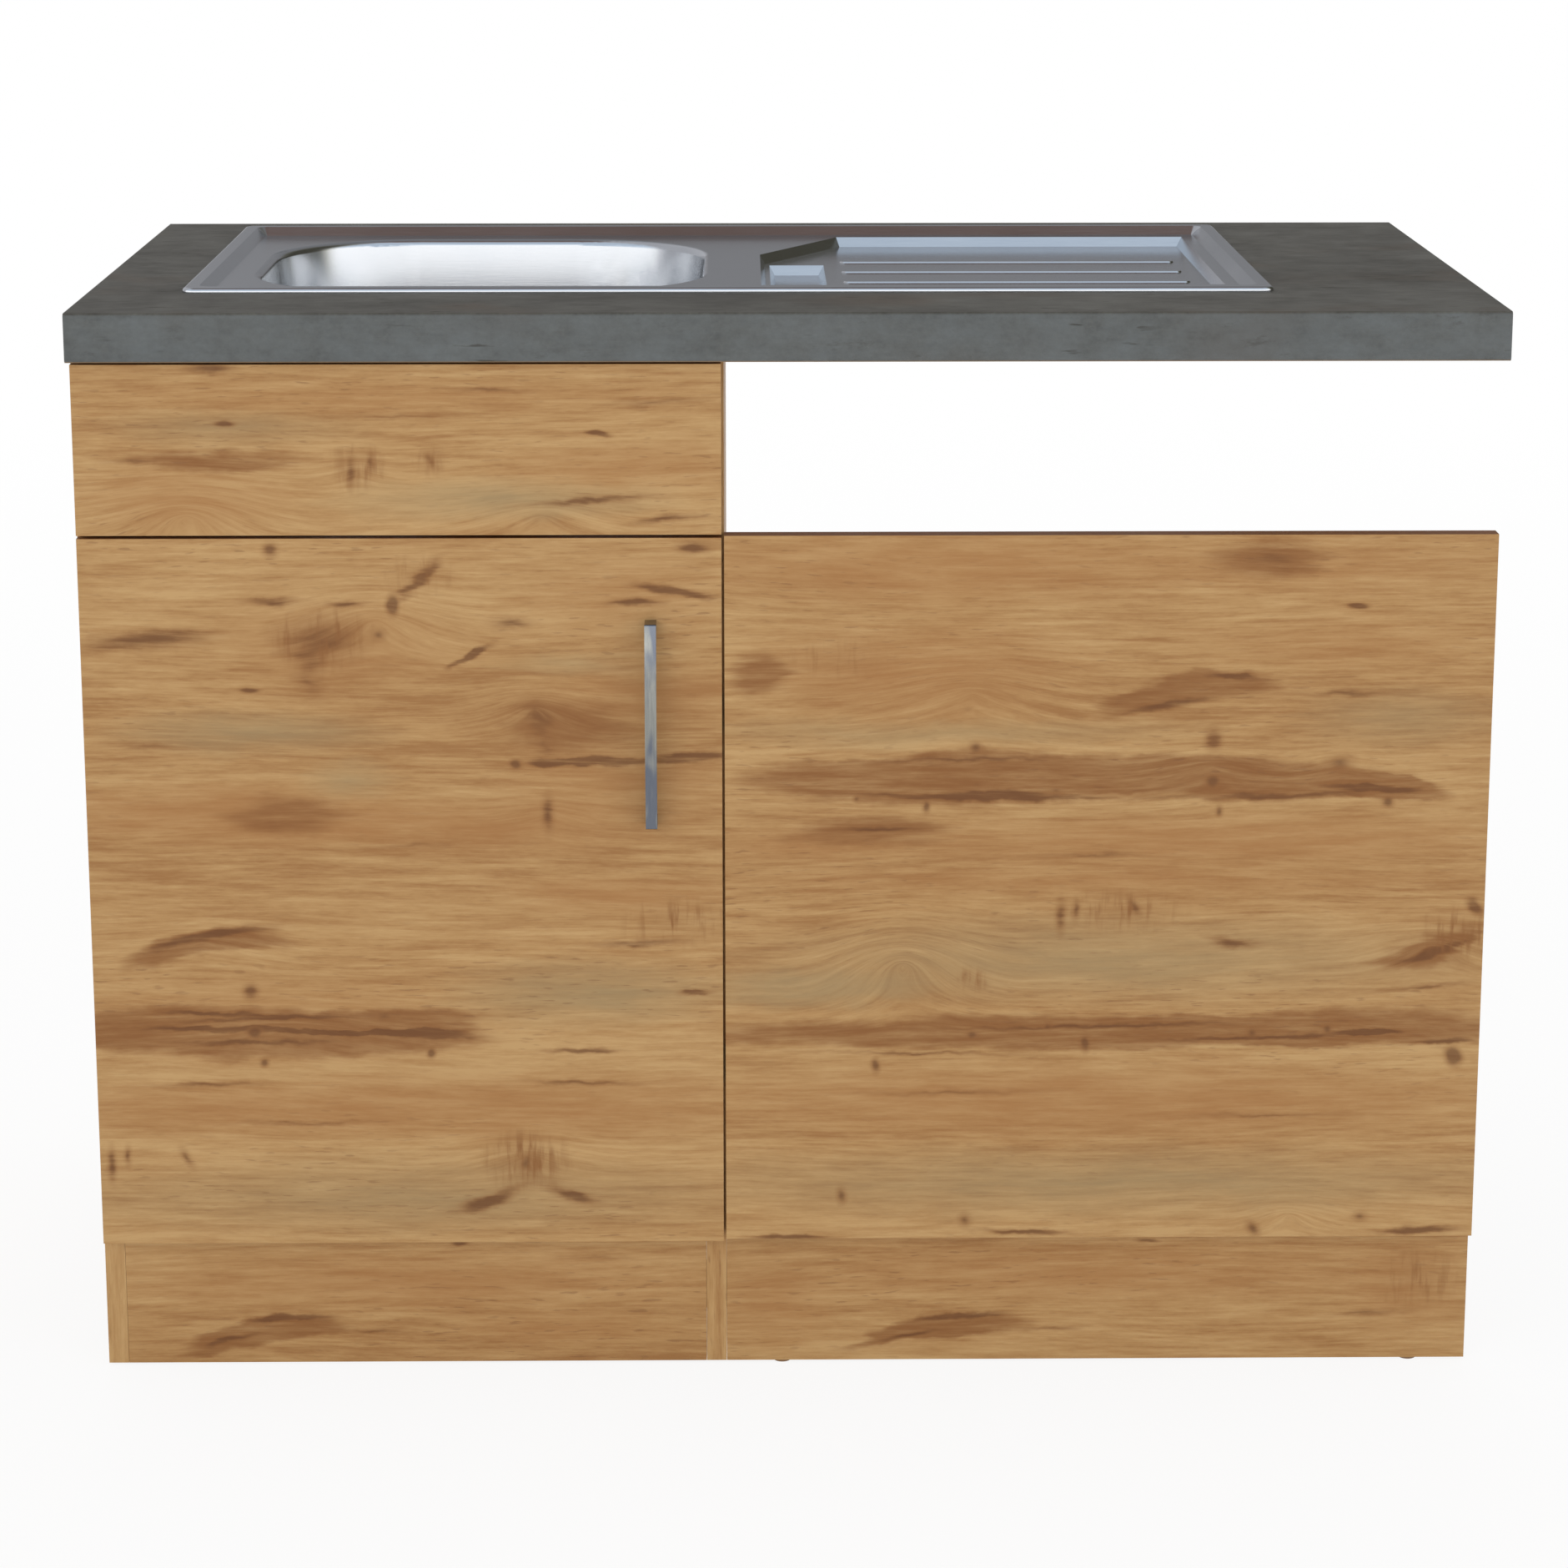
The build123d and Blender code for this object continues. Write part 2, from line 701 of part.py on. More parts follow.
for level, z in hinge_heights.items():
    with BuildPart() as hinge_cup:
        with BuildSketch(Plane.XZ.offset(-door_back_y)):
            with Locations((cup_x, z)):
                Circle(cup_radius)
        extrude(amount=cup_depth)
        with BuildSketch(Plane.XZ.offset(-door_back_y - cup_flange)):
            with Locations((cup_x, z)):
                Circle(cup_radius + cup_wall)
            with Locations((cup_screw_x, z)):
                RectangleRounded(cup_wing_width, cup_wing_length, cup_wing_corner)
        extrude(amount=cup_flange)
        with BuildSketch(Plane.XZ.offset(-door_back_y - cup_flange)):
            with Locations((cup_x, z)):
                Circle(cup_radius - cup_wall)
        extrude(amount=cup_flange + cup_depth - cup_wall, mode=Mode.SUBTRACT)
        drill(
            [
                Plane(origin=(x, door_back_y + cup_flange, spot_z), z_dir=(0, -1, 0))
                for x, spot_z in cup_screw_spots
            ],
            bracket_hole_radius,
            cup_flange,
        )
    sub_parts[f"hinge_cup_{level}"] = hinge_cup

    with BuildPart() as hinge_arm:
        with BuildSketch(Plane.XY.offset(z)):
            with BuildLine():
                Polyline(
                    (pivot_x - arm_nose / 2, pivot_y),
                    (pivot_x - arm_nose / 2, crank_start_y),
                    (plate_x, crank_end_y),
                    (plate_x, arm_rear_y),
                    (plate_x + arm_thickness, arm_rear_y),
                    (plate_x + arm_thickness, crank_end_y),
                    (pivot_x + arm_nose / 2, crank_start_y),
                    (pivot_x + arm_nose / 2, pivot_y),
                    close=True,
                )
            make_face()
            with Locations((pivot_x, pivot_y)):
                Circle(arm_nose / 2)
        extrude(amount=arm_height / 2, both=True)
        block(
            (pivot_x - arm_nose, pivot_y - arm_nose, z - link_slot),
            (pivot_x + arm_nose, pivot_y + link_slot_depth, z + link_slot),
            mode=Mode.SUBTRACT,
        )
        with Locations((pivot_x, pivot_y, z)):
            Cylinder(pivot_radius + pivot_play, arm_height, mode=Mode.SUBTRACT)
    sub_parts[f"hinge_arm_{level}"] = hinge_arm

    with BuildPart() as hinge_link:
        with BuildSketch(Plane.XY.offset(z)):
            with Locations((pivot_x, pivot_y)):
                Circle(arm_nose / 2)
            middle = ((pivot_x + link_tip_x) / 2, (pivot_y + link_tip_y) / 2)
            SlotCenterPoint(middle, (link_tip_x, link_tip_y), link_width)
        extrude(amount=link_height / 2, both=True)
        with Locations((pivot_x, pivot_y, z)):
            Cylinder(pivot_radius, arm_height)
    sub_parts[f"hinge_link_{level}"] = hinge_link

    with BuildPart() as hinge_plate:
        block(
            (inner_left_x, plate_mid_y - plate_width / 2, z - arm_height / 2),
            (plate_x, plate_mid_y + plate_width / 2, z + arm_height / 2),
        )
        block(
            (inner_left_x, plate_mid_y - plate_spine_width / 2, z - plate_length / 2),
            (plate_x, plate_mid_y + plate_spine_width / 2, z + plate_length / 2),
        )
        drill(plate_screw_planes, bracket_hole_radius, plate_thickness)
    sub_parts[f"hinge_plate_{level}"] = hinge_plate

with BuildPart() as cup_screws:
    pan_screws(
        [Plane(origin=(x, door_back_y + cup_flange, z), z_dir=(0, -1, 0)) for x, z in cup_screw_spots],
        screw_radius,
        screw_length,
        screw_head_radius,
        screw_head,
    )
sub_parts["cup_screws"] = cup_screws

with BuildPart() as plate_screws:
    pan_screws(plate_screw_planes, screw_radius, screw_length, screw_head_radius, screw_head)
sub_parts["plate_screws"] = plate_screws

# ---------------------------------------------------------------- worktop
sink_depth = worktop_depth - sink_from_front - sink_from_rear
sink_left_x = left_x + sink_from_left
sink_right_x = sink_left_x + sink_width
sink_front_y = front_y + sink_from_front
sink_rear_y = rear_y - sink_from_rear
sink_mid_x = sink_left_x + sink_width / 2
sink_mid_y = sink_front_y + sink_depth / 2
cutout_width = sink_width - 2 * cutout_overlap
cutout_depth = sink_depth - 2 * cutout_overlap

with BuildPart() as worktop:
    block(
        (left_x + end_trim_thickness, front_y, carcass_height),
        (right_x - end_trim_thickness, rear_y, worktop_top_z),
    )
    fillet(worktop.edges().filter_by(Axis.X).group_by(Axis.Y)[0], worktop_edge_radius)
    with BuildSketch(Plane.XY.offset(carcass_height)):
        with Locations((sink_mid_x, sink_mid_y)):
            RectangleRounded(cutout_width, cutout_depth, cutout_corner_radius)
    extrude(amount=worktop_thickness, mode=Mode.SUBTRACT)
    pilot_holes()
    drill(worktop_screw_planes, screw_radius + pilot_play, board + worktop_screw_bite)
sub_parts["worktop"] = worktop

for side, low_x in (("left", left_x), ("right", right_x - end_trim_thickness)):
    with BuildPart() as end_trim:
        block((low_x, front_y, carcass_height), (low_x + end_trim_thickness, rear_y, worktop_top_z))
        fillet(end_trim.edges().filter_by(Axis.X).group_by(Axis.Y)[0], worktop_edge_radius)
    sub_parts[f"end_trim_{side}"] = end_trim

with BuildPart() as worktop_screws:
    pan_screws(
        worktop_screw_planes,
        screw_radius,
        board + worktop_screw_bite,
        screw_head_radius,
        screw_head,
    )
sub_parts["worktop_screws"] = worktop_screws

# ---------------------------------------------------------------- sink
# One pressed sheet. The body below is everything under its upper face, the hollow is the space
# above that face, and the shell is what is left between them.
rim_top_z = worktop_top_z + rim_rise
deck_z = worktop_top_z - deck_drop
rim_fall = rim_rise + deck_drop
lip_radius = rim_rise - sheet
lip_height = rim_rise - lip_air
bowl_length = sink_depth - bowl_from_front - bowl_from_rear
bowl_left_x = sink_left_x + bowl_from_left
bowl_front_y = sink_front_y + bowl_from_front
bowl_x = bowl_left_x + bowl_width / 2
bowl_y = bowl_front_y + bowl_length / 2
bowl_floor_z = deck_z - bowl_depth
recess_floor_z = bowl_floor_z - waste_recess_depth
drainer_floor_z = deck_z - drainer_depth
tray_floor_z = drainer_floor_z - tray_depth
drainer_left_x = sink_left_x + drainer_from_left
drainer_right_x = sink_right_x - drainer_from_right
drainer_front_y = sink_front_y + drainer_from_front
drainer_rear_y = sink_rear_y - drainer_from_rear
notch_front_y = drainer_rear_y - drainer_notch_depth
rib_left_x = sink_left_x + rib_from_left
rib_length = drainer_right_x - rib_to_drainer_end - rib_left_x
rib_front_y = sink_front_y + rib_from_front
rib_pitch = (drainer_rear_y - rib_to_drainer_rear - rib_front_y) / (rib_count - 1)
tray_front_y = sink_front_y + tray_from_front
tray_length = notch_front_y - tray_to_notch - tray_front_y
tray_mid_x = sink_left_x + tray_from_left + tray_width / 2
tray_mid_y = tray_front_y + tray_length / 2
pocket_mid_y = tray_front_y + pocket_inset + pocket_length / 2
sheet_pierce = 4 * sheet
overflow_z = deck_z - overflow_drop
wall_inset = overflow_drop * tan(radians(bowl_draft))
overflow_origin = Vector(bowl_x, bowl_front_y + wall_inset, overflow_z)
wall_normal = Vector(0, -cos(radians(bowl_draft)), -sin(radians(bowl_draft)))
overflow_plane = Plane(origin=overflow_origin, x_dir=(1, 0, 0), z_dir=wall_normal)


def drainer_outline():
    """The drainer's edge: a rectangle whose rear left corner is cut off for the tap ledge."""
    Polygon(
        (drainer_left_x, drainer_front_y),
        (drainer_right_x, drainer_front_y),
        (drainer_right_x, drainer_rear_y),
        (drainer_left_x + drainer_notch_width, drainer_rear_y),
        (drainer_left_x, notch_front_y),
        align=None,
    )


def press_drainer(skin):
    """Drainer, tray and pocket, grown all round by a skin."""
    with BuildSketch(Plane.XY.offset(deck_z)) as drainer_edge:
        drainer_outline()
        if skin:
            offset(amount=skin / cos(radians(drainer_draft)), kind=Kind.INTERSECTION)
    extrude(drainer_edge.sketch, amount=-drainer_depth - skin, taper=drainer_draft)
    with BuildSketch(Plane.XY.offset(drainer_floor_z)) as tray_edge:
        with Locations((tray_mid_x, tray_mid_y)):
            Rectangle(tray_width + 2 * skin, tray_length + 2 * skin)
    extrude(tray_edge.sketch, amount=-tray_depth - skin, taper=tray_draft)
    with BuildSketch(Plane.XY.offset(tray_floor_z)) as pocket_edge:
        with Locations((tray_mid_x, pocket_mid_y)):
            Rectangle(tray_width - 2 * pocket_inset + 2 * skin, pocket_length + 2 * skin)
    extrude(pocket_edge.sketch, amount=-pocket_depth - skin, taper=pocket_draft)


def press_ribs(skin):
    """The drainer's ribs, shrunk all round by a skin."""
    rib_mid_x = rib_left_x + rib_length / 2
    for index in range(rib_count):
        rib_y = rib_front_y + index * rib_pitch
        with BuildSketch(Plane.XY.offset(drainer_floor_z - skin)) as rib_edge:
            with Locations((rib_mid_x, rib_y)):
                SlotOverall(rib_length - 2 * skin, rib_width - 2 * skin)
        extrude(rib_edge.sketch, amount=rib_height, taper=rib_draft, mode=Mode.SUBTRACT)


def press_bowl(skin):
    """The bowl with its rounded floor, grown all round by a skin."""
    with BuildSketch(Plane.XY.offset(deck_z)) as bowl_edge:
        with Locations((bowl_x, bowl_y)):
            RectangleRounded(
                bowl_width + 2 * skin,
                bowl_length + 2 * skin,
                bowl_corner_radius + skin,
            )
    extrude(bowl_edge.sketch, amount=-bowl_depth - skin, taper=bowl_draft)


def bowl_mouth(edges, height):
    """The ring of edges where the bowl meets the deck at a height."""
    reach_x = bowl_width / 2 + 2 * sheet
    reach_y = bowl_length / 2 + 2 * sheet
    ring = edges.filter_by_position(Axis.Z, height, height)
    return [
        edge
        for edge in ring
        if abs(edge.center().X - bowl_x) < reach_x and abs(edge.center().Y - bowl_y) < reach_y
    ]


with BuildPart() as bowl_hollow:
    press_bowl(0)
    fillet(bowl_hollow.edges().group_by(Axis.Z)[0], bowl_floor_radius)

with BuildPart() as bowl_body:
    press_bowl(sheet)
    fillet(bowl_body.edges().group_by(Axis.Z)[0], bowl_floor_radius + sheet)

with BuildPart() as sink_hollow:
    with BuildSketch(Plane.XY.offset(rim_top_z)):
        with Locations((sink_mid_x, sink_mid_y)):
            RectangleRounded(
                sink_width - 2 * rim_width, sink_depth - 2 * rim_width, sink_corner_radius
            )
    extrude(amount=-rim_fall, taper=rim_slope)
    press_drainer(0)
    press_ribs(0)
    add(bowl_hollow.part)
    fillet(bowl_mouth(sink_hollow.edges(), deck_z), bowl_lip_radius)

rim_growth = sheet / cos(radians(rim_slope))


def press_rim(skin):
    """The rim with its rolled outer edge, shrunk all round by a skin."""
    with BuildSketch(Plane.XY.offset(rim_top_z - skin)) as rim_edge:
        with Locations((sink_mid_x, sink_mid_y)):
            RectangleRounded(sink_width - 2 * skin, sink_depth - 2 * skin, sink_corner_radius - skin)
    extrude(rim_edge.sketch, amount=skin - lip_height)


with BuildPart() as rim_hollow:
    press_rim(sheet)
    fillet(rim_hollow.edges().group_by(Axis.Z)[-1], lip_radius - sheet)

with BuildPart() as sink_body:
    press_rim(0)
    fillet(sink_body.edges().group_by(Axis.Z)[-1], lip_radius)
    add(rim_hollow.part, mode=Mode.SUBTRACT)
    with BuildSketch(Plane.XY.offset(rim_top_z)):
        with Locations((sink_mid_x, sink_mid_y)):
            RectangleRounded(
                sink_width - 2 * rim_width + 2 * rim_growth,
                sink_depth - 2 * rim_width + 2 * rim_growth,
                sink_corner_radius + rim_growth,
            )
    extrude(amount=-rim_fall - sheet, taper=rim_slope)
    press_drainer(sheet)
    press_ribs(sheet)
    add(bowl_body.part)
    fillet(bowl_mouth(sink_body.edges(), deck_z - sheet), bowl_lip_radius - sheet)

with BuildPart() as sink_shell:
    add(sink_body.part)
    add(sink_hollow.part, mode=Mode.SUBTRACT)
    with Locations((bowl_x, bowl_y, recess_floor_z - sheet)):
        Cylinder(
            waste_flange_radius + waste_recess_play + sheet,
            waste_recess_depth + sheet,
            align=(Align.CENTER, Align.CENTER, Align.MIN),
        )
    with Locations((bowl_x, bowl_y, recess_floor_z)):
        Cylinder(
            waste_flange_radius + waste_recess_play,
            waste_recess_depth,
            align=(Align.CENTER, Align.CENTER, Align.MIN),
            mode=Mode.SUBTRACT,
        )
    with Locations((bowl_x, bowl_y, bowl_floor_z)):
        Cylinder(waste_hole_radius, 2 * waste_recess_depth + sheet_pierce, mode=Mode.SUBTRACT)
    with Locations(overflow_plane):
        Cylinder(overflow_hole_radius, sheet_pierce, mode=Mode.SUBTRACT)
sub_parts["sink_shell"] = sink_shell

with BuildPart() as sink_seal:
    with BuildSketch(Plane.XY.offset(worktop_top_z)):
        with Locations((sink_mid_x, sink_mid_y)):
            outer_inset = 2 * (lip_radius + seal_from_lip)
            inner_inset = outer_inset + 2 * seal_width
            RectangleRounded(sink_width - outer_inset, sink_depth - outer_inset, sink_corner_radius)
            RectangleRounded(
                sink_width - inner_inset,
                sink_depth - inner_inset,
                sink_corner_radius,
                mode=Mode.SUBTRACT,
            )
    extrude(amount=rim_rise - sheet)
sub_parts["sink_seal"] = sink_seal

# ---------------------------------------------------------------- sink clips
# Each clip hangs under the sink's deck, runs down the cut-out and turns under the worktop, where
# a short screw presses up.
cutout_left_x = sink_mid_x - cutout_width / 2
cutout_right_x = sink_mid_x + cutout_width / 2
cutout_front_y = sink_mid_y - cutout_depth / 2
cutout_rear_y = sink_mid_y + cutout_depth / 2
clip_xs = (
    sink_left_x + clip_end_inset,
    sink_mid_x + clip_width / 2,
    sink_right_x - clip_end_inset,
)
clip_spots = [((x, cutout_front_y), (0, -1, 0)) for x in clip_xs]
clip_spots += [((x, cutout_rear_y), (0, 1, 0)) for x in clip_xs]
clip_spots += [((cutout_left_x, sink_mid_y), (-1, 0, 0)), ((cutout_right_x, sink_mid_y), (1, 0, 0))]
clip_high_z = deck_z - sheet
clip_foot_z = carcass_height - clip_foot_drop
deck_inset = rim_fall * tan(radians(rim_slope)) + clip_air
clip_screw_planes = []

with BuildPart() as sink_clips:
    for (x, y), outward in clip_spots:
        way = Vector(*outward)
        across = Vector(0, 0, 1).cross(way)
        web = -clip_air
        outline = [
            (web, clip_foot_z),
            (clip_foot, clip_foot_z),
            (clip_foot, clip_foot_z - clip_sheet),
            (web - clip_sheet, clip_foot_z - clip_sheet),
            (web - clip_sheet, carcass_height),
            (-deck_inset - clip_sheet, carcass_height),
            (-deck_inset - clip_sheet, clip_high_z),
            (-deck_inset, clip_high_z),
            (-deck_inset, carcass_height + clip_sheet),
            (web, carcass_height + clip_sheet),
        ]
        with BuildSketch(Plane(origin=(x, y, 0), x_dir=way, z_dir=-across)):
            with BuildLine():
                Polyline(*outline, close=True)
            make_face()
        extrude(amount=clip_width / 2, both=True)
        screw_spot = Vector(x, y, clip_foot_z - clip_sheet) + way * clip_foot / 2
        clip_screw_planes.append(Plane(origin=screw_spot, z_dir=(0, 0, 1)))
    drill(clip_screw_planes, clip_screw_radius + pilot_play, clip_sheet)
sub_parts["sink_clips"] = sink_clips

with BuildPart() as clip_screws:
    pan_screws(
        clip_screw_planes,
        clip_screw_radius,
        clip_sheet + clip_foot_drop,
        clip_screw_head_radius,
        clip_screw_head,
    )
sub_parts["clip_screws"] = clip_screws

# ---------------------------------------------------------------- basket strainer
drain = (bowl_x, bowl_y)
flange_top_z = recess_floor_z + waste_flange_thickness
cup_floor_z = flange_top_z - waste_cup_depth
cup_inner = waste_cup_radius - sheet

with BuildPart() as waste_flange:
    turned(
        [
            (0, cup_floor_z),
            (cup_inner, cup_floor_z),
            (cup_inner, flange_top_z),
            (waste_flange_radius, flange_top_z),
            (waste_flange_radius, recess_floor_z),
            (waste_cup_radius, recess_floor_z),
            (waste_cup_radius, cup_floor_z - sheet),
            (0, cup_floor_z - sheet),
        ],
        drain,
    )
    with Locations((*drain, cup_floor_z)):
        Cylinder(waste_screw_radius + pilot_play, sheet_pierce, mode=Mode.SUBTRACT)
        with PolarLocations(waste_drain_ring, waste_drain_count):
            Cylinder(waste_drain_radius, sheet_pierce, mode=Mode.SUBTRACT)
sub_parts["waste_flange"] = waste_flange

gasket_top_z = recess_floor_z - sheet
gasket_low_z = gasket_top_z - waste_gasket_thickness
body_inner = waste_cup_radius + waste_body_play
body_outer = body_inner + waste_body_wall
with BuildPart() as waste_gasket:
    turned(
        [
            (body_inner, gasket_low_z),
            (waste_flange_radius, gasket_low_z),
            (waste_flange_radius, gasket_top_z),
            (body_inner, gasket_top_z),
        ],
        drain,
    )
sub_parts["waste_gasket"] = waste_gasket

body_floor_top_z = cup_floor_z - sheet - waste_floor_air
body_floor_low_z = body_floor_top_z - waste_body_floor
spigot_low_z = body_floor_low_z - waste_spigot_length
spigot_bore = pipe_radius - pipe_wall
overflow_port_z = gasket_low_z - overflow_port_drop
with BuildPart() as waste_body:
    turned(
        [
            (spigot_bore, spigot_low_z),
            (waste_spigot_radius, spigot_low_z),
            (waste_spigot_radius, body_floor_low_z),
            (body_outer, body_floor_low_z),
            (body_outer, gasket_low_z - waste_body_collar),
            (waste_flange_radius, gasket_low_z - waste_body_collar),
            (waste_flange_radius, gasket_low_z),
            (body_inner, gasket_low_z),
            (body_inner, body_floor_top_z),
            (spigot_bore, body_floor_top_z),
        ],
        drain,
    )
    port_y = bowl_y - body_inner
    with Locations(Plane(origin=(bowl_x, port_y, overflow_port_z), z_dir=(0, -1, 0))):
        Cylinder(
            overflow_pipe_radius,
            waste_body_wall + overflow_port_length,
            align=(Align.CENTER, Align.CENTER, Align.MIN),
        )
        Cylinder(
            overflow_pipe_radius - overflow_pipe_wall,
            waste_body_wall + overflow_port_length,
            align=(Align.CENTER, Align.CENTER, Align.MIN),
            mode=Mode.SUBTRACT,
        )
    with Locations((*drain, body_floor_low_z)):
        for across, along in ((2 * spigot_bore, waste_bar_width), (waste_bar_width, 2 * spigot_bore)):
            Box(
                across,
                along,
                waste_body_floor,
                align=(Align.CENTER, Align.CENTER, Align.MIN),
            )
        Cylinder(
            waste_boss_radius,
            waste_body_floor + waste_floor_air,
            align=(Align.CENTER, Align.CENTER, Align.MIN),
        )
        Cylinder(
            waste_screw_radius + pilot_play,
            waste_body_floor + waste_floor_air,
            align=(Align.CENTER, Align.CENTER, Align.MIN),
            mode=Mode.SUBTRACT,
        )
    with Locations(Plane(origin=(bowl_x, port_y, overflow_port_z), z_dir=(0, 1, 0))):
        Cylinder(
            overflow_pipe_radius - overflow_pipe_wall,
            waste_body_wall,
            align=(Align.CENTER, Align.CENTER, Align.MIN),
            mode=Mode.SUBTRACT,
        )
sub_parts["waste_body"] = waste_body

with BuildPart() as waste_screw:
    pan_screws(
        [Plane(origin=(*drain, cup_floor_z), z_dir=(0, 0, -1))],
        waste_screw_radius,
        waste_screw_length,
        waste_screw_head_radius,
        waste_screw_head,
    )
sub_parts["waste_screw"] = waste_screw

# The basket lifts out of the cup. Its rubber seal closes on the cup's floor.
seal_low_z = cup_floor_z + basket_seat_air
basket_low_z = seal_low_z + basket_seal_thickness
basket_top_z = basket_low_z + basket_height
knob_low_z = basket_low_z + basket_stem_height
with BuildPart() as basket_seal:
    turned(
        [
            (basket_seal_inner, seal_low_z),
            (basket_seal_outer, seal_low_z),
            (basket_seal_outer, basket_low_z),
            (basket_seal_inner, basket_low_z),
        ],
        drain,
    )
sub_parts["basket_seal"] = basket_seal

with BuildPart() as strainer_basket:
    turned(
        [
            (0, basket_low_z),
            (basket_radius, basket_low_z),
            (basket_radius, basket_top_z),
            (basket_radius - basket_wall, basket_top_z),
            (basket_radius - basket_wall, basket_low_z + basket_wall),
            (basket_stem_radius, basket_low_z + basket_wall),
            (basket_stem_radius, knob_low_z),
            (basket_knob_radius, knob_low_z),
            (basket_knob_radius, knob_low_z + basket_knob_height),
            (0, knob_low_z + basket_knob_height),
        ],
        drain,
    )
    hole_ring = (basket_radius + basket_seal_outer) / 2
    basket_pierce = 4 * basket_wall
    with Locations((*drain, basket_low_z)):
        with PolarLocations(hole_ring, basket_hole_count):
            Cylinder(basket_floor_hole_radius, basket_pierce, mode=Mode.SUBTRACT)
    for row in (1, 2):
        with Locations((*drain, basket_low_z + row * basket_row_pitch)):
            with PolarLocations(basket_radius, basket_hole_count):
                Cylinder(
                    basket_hole_radius, basket_pierce, rotation=(0, 90, 0), mode=Mode.SUBTRACT
                )
    knob_edges = strainer_basket.edges().filter_by(GeomType.CIRCLE).group_by(Axis.Z)[-1]
    fillet(knob_edges, basket_knob_round)
sub_parts["strainer_basket"] = strainer_basket

# ---------------------------------------------------------------- overflow
wall_outside = overflow_plane.offset(sheet)
wall_inside = Plane(origin=overflow_origin, x_dir=(1, 0, 0), z_dir=-wall_normal)
elbow_mid_y = overflow_origin.Y - (sheet + overflow_elbow_depth / 2) * cos(radians(bowl_draft))
elbow_mid_z = overflow_z - (sheet + overflow_elbow_depth / 2) * sin(radians(bowl_draft))
elbow_low_z = elbow_mid_z - overflow_spigot_length
with BuildPart() as overflow_grille:
    with Locations(wall_inside):
        Cylinder(
            overflow_plate_radius,
            overflow_plate_thickness,
            align=(Align.CENTER, Align.CENTER, Align.MIN),
        )
        with PolarLocations(overflow_grille_ring, overflow_grille_hole_count):
            Cylinder(overflow_grille_hole_radius, sheet_pierce, mode=Mode.SUBTRACT)
        Cylinder(
            overflow_neck_radius,
            overflow_elbow_depth / 2,
            align=(Align.CENTER, Align.CENTER, Align.MAX),
        )
sub_parts["overflow_grille"] = overflow_grille

with BuildPart() as overflow_elbow:
    with Locations(wall_outside):
        Cylinder(
            overflow_elbow_radius,
            overflow_elbow_depth,
            align=(Align.CENTER, Align.CENTER, Align.MIN),
        )
    with Locations((bowl_x, elbow_mid_y, elbow_mid_z)):
        Cylinder(
            overflow_pipe_radius,
            overflow_spigot_length,
            align=(Align.CENTER, Align.CENTER, Align.MAX),
        )
    with Locations(wall_outside):
        Cylinder(
            overflow_elbow_radius - overflow_elbow_wall,
            overflow_elbow_depth - overflow_elbow_wall,
            align=(Align.CENTER, Align.CENTER, Align.MIN),
            mode=Mode.SUBTRACT,
        )
    with Locations((bowl_x, elbow_mid_y, elbow_mid_z)):
        Cylinder(
            overflow_pipe_radius - overflow_pipe_wall,
            overflow_spigot_length,
            align=(Align.CENTER, Align.CENTER, Align.MAX),
            mode=Mode.SUBTRACT,
        )
sub_parts["overflow_elbow"] = overflow_elbow

port_end_y = bowl_y - body_outer - overflow_port_length
with BuildPart() as overflow_pipe:
    with BuildLine() as overflow_route:
        FilletPolyline(
            (bowl_x, elbow_mid_y, elbow_low_z),
            (bowl_x, elbow_mid_y, overflow_port_z),
            (bowl_x, port_end_y, overflow_port_z),
            radius=overflow_bend_radius,
        )
    with BuildSketch(Plane(origin=(bowl_x, elbow_mid_y, elbow_low_z), z_dir=(0, 0, -1))):
        Circle(overflow_pipe_radius)
        Circle(overflow_pipe_radius - overflow_pipe_wall, mode=Mode.SUBTRACT)
    sweep(path=overflow_route.line)
sub_parts["overflow_pipe"] = overflow_pipe

# ---------------------------------------------------------------- bottle trap
pipe_bore = pipe_radius - pipe_wall
trap_top_z = spigot_low_z - trap_top_drop
trap_low_z = trap_top_z - trap_body_height
trap_neck_top_z = trap_top_z + trap_neck_height
trap_port_z = trap_top_z - trap_port_drop
trap_inner = trap_body_radius - trap_wall
tail_low_z = spigot_low_z - tail_pipe_length

with BuildPart() as tail_pipe:
    turned(
        [
            (pipe_bore, tail_low_z),
            (pipe_radius, tail_low_z),
            (pipe_radius, spigot_low_z),
            (pipe_bore, spigot_low_z),
        ],
        drain,
    )
sub_parts["tail_pipe"] = tail_pipe

with BuildPart() as trap_body:
    turned(
        [
            (trap_inner, trap_low_z),
            (trap_body_radius, trap_low_z),
            (trap_body_radius, trap_top_z),
            (trap_neck_radius, trap_top_z),
            (trap_neck_radius, trap_neck_top_z),
            (pipe_radius + nut_play, trap_neck_top_z),
            (pipe_radius + nut_play, trap_top_z - trap_wall),
            (trap_inner, trap_top_z - trap_wall),
        ],
        drain,
    )
    with Locations(Plane(origin=(bowl_x, bowl_y + trap_inner, trap_port_z), z_dir=(0, 1, 0))):
        Cylinder(
            trap_port_radius,
            trap_port_reach - trap_inner,
            align=(Align.CENTER, Align.CENTER, Align.MIN),
        )
    bore_start_y = bowl_y + pipe_radius + trap_wall
    with Locations(Plane(origin=(bowl_x, bore_start_y, trap_port_z), z_dir=(0, 1, 0))):
        Cylinder(
            pipe_bore,
            trap_port_reach,
            align=(Align.CENTER, Align.CENTER, Align.MIN),
            mode=Mode.SUBTRACT,
        )
sub_parts["trap_body"] = trap_body

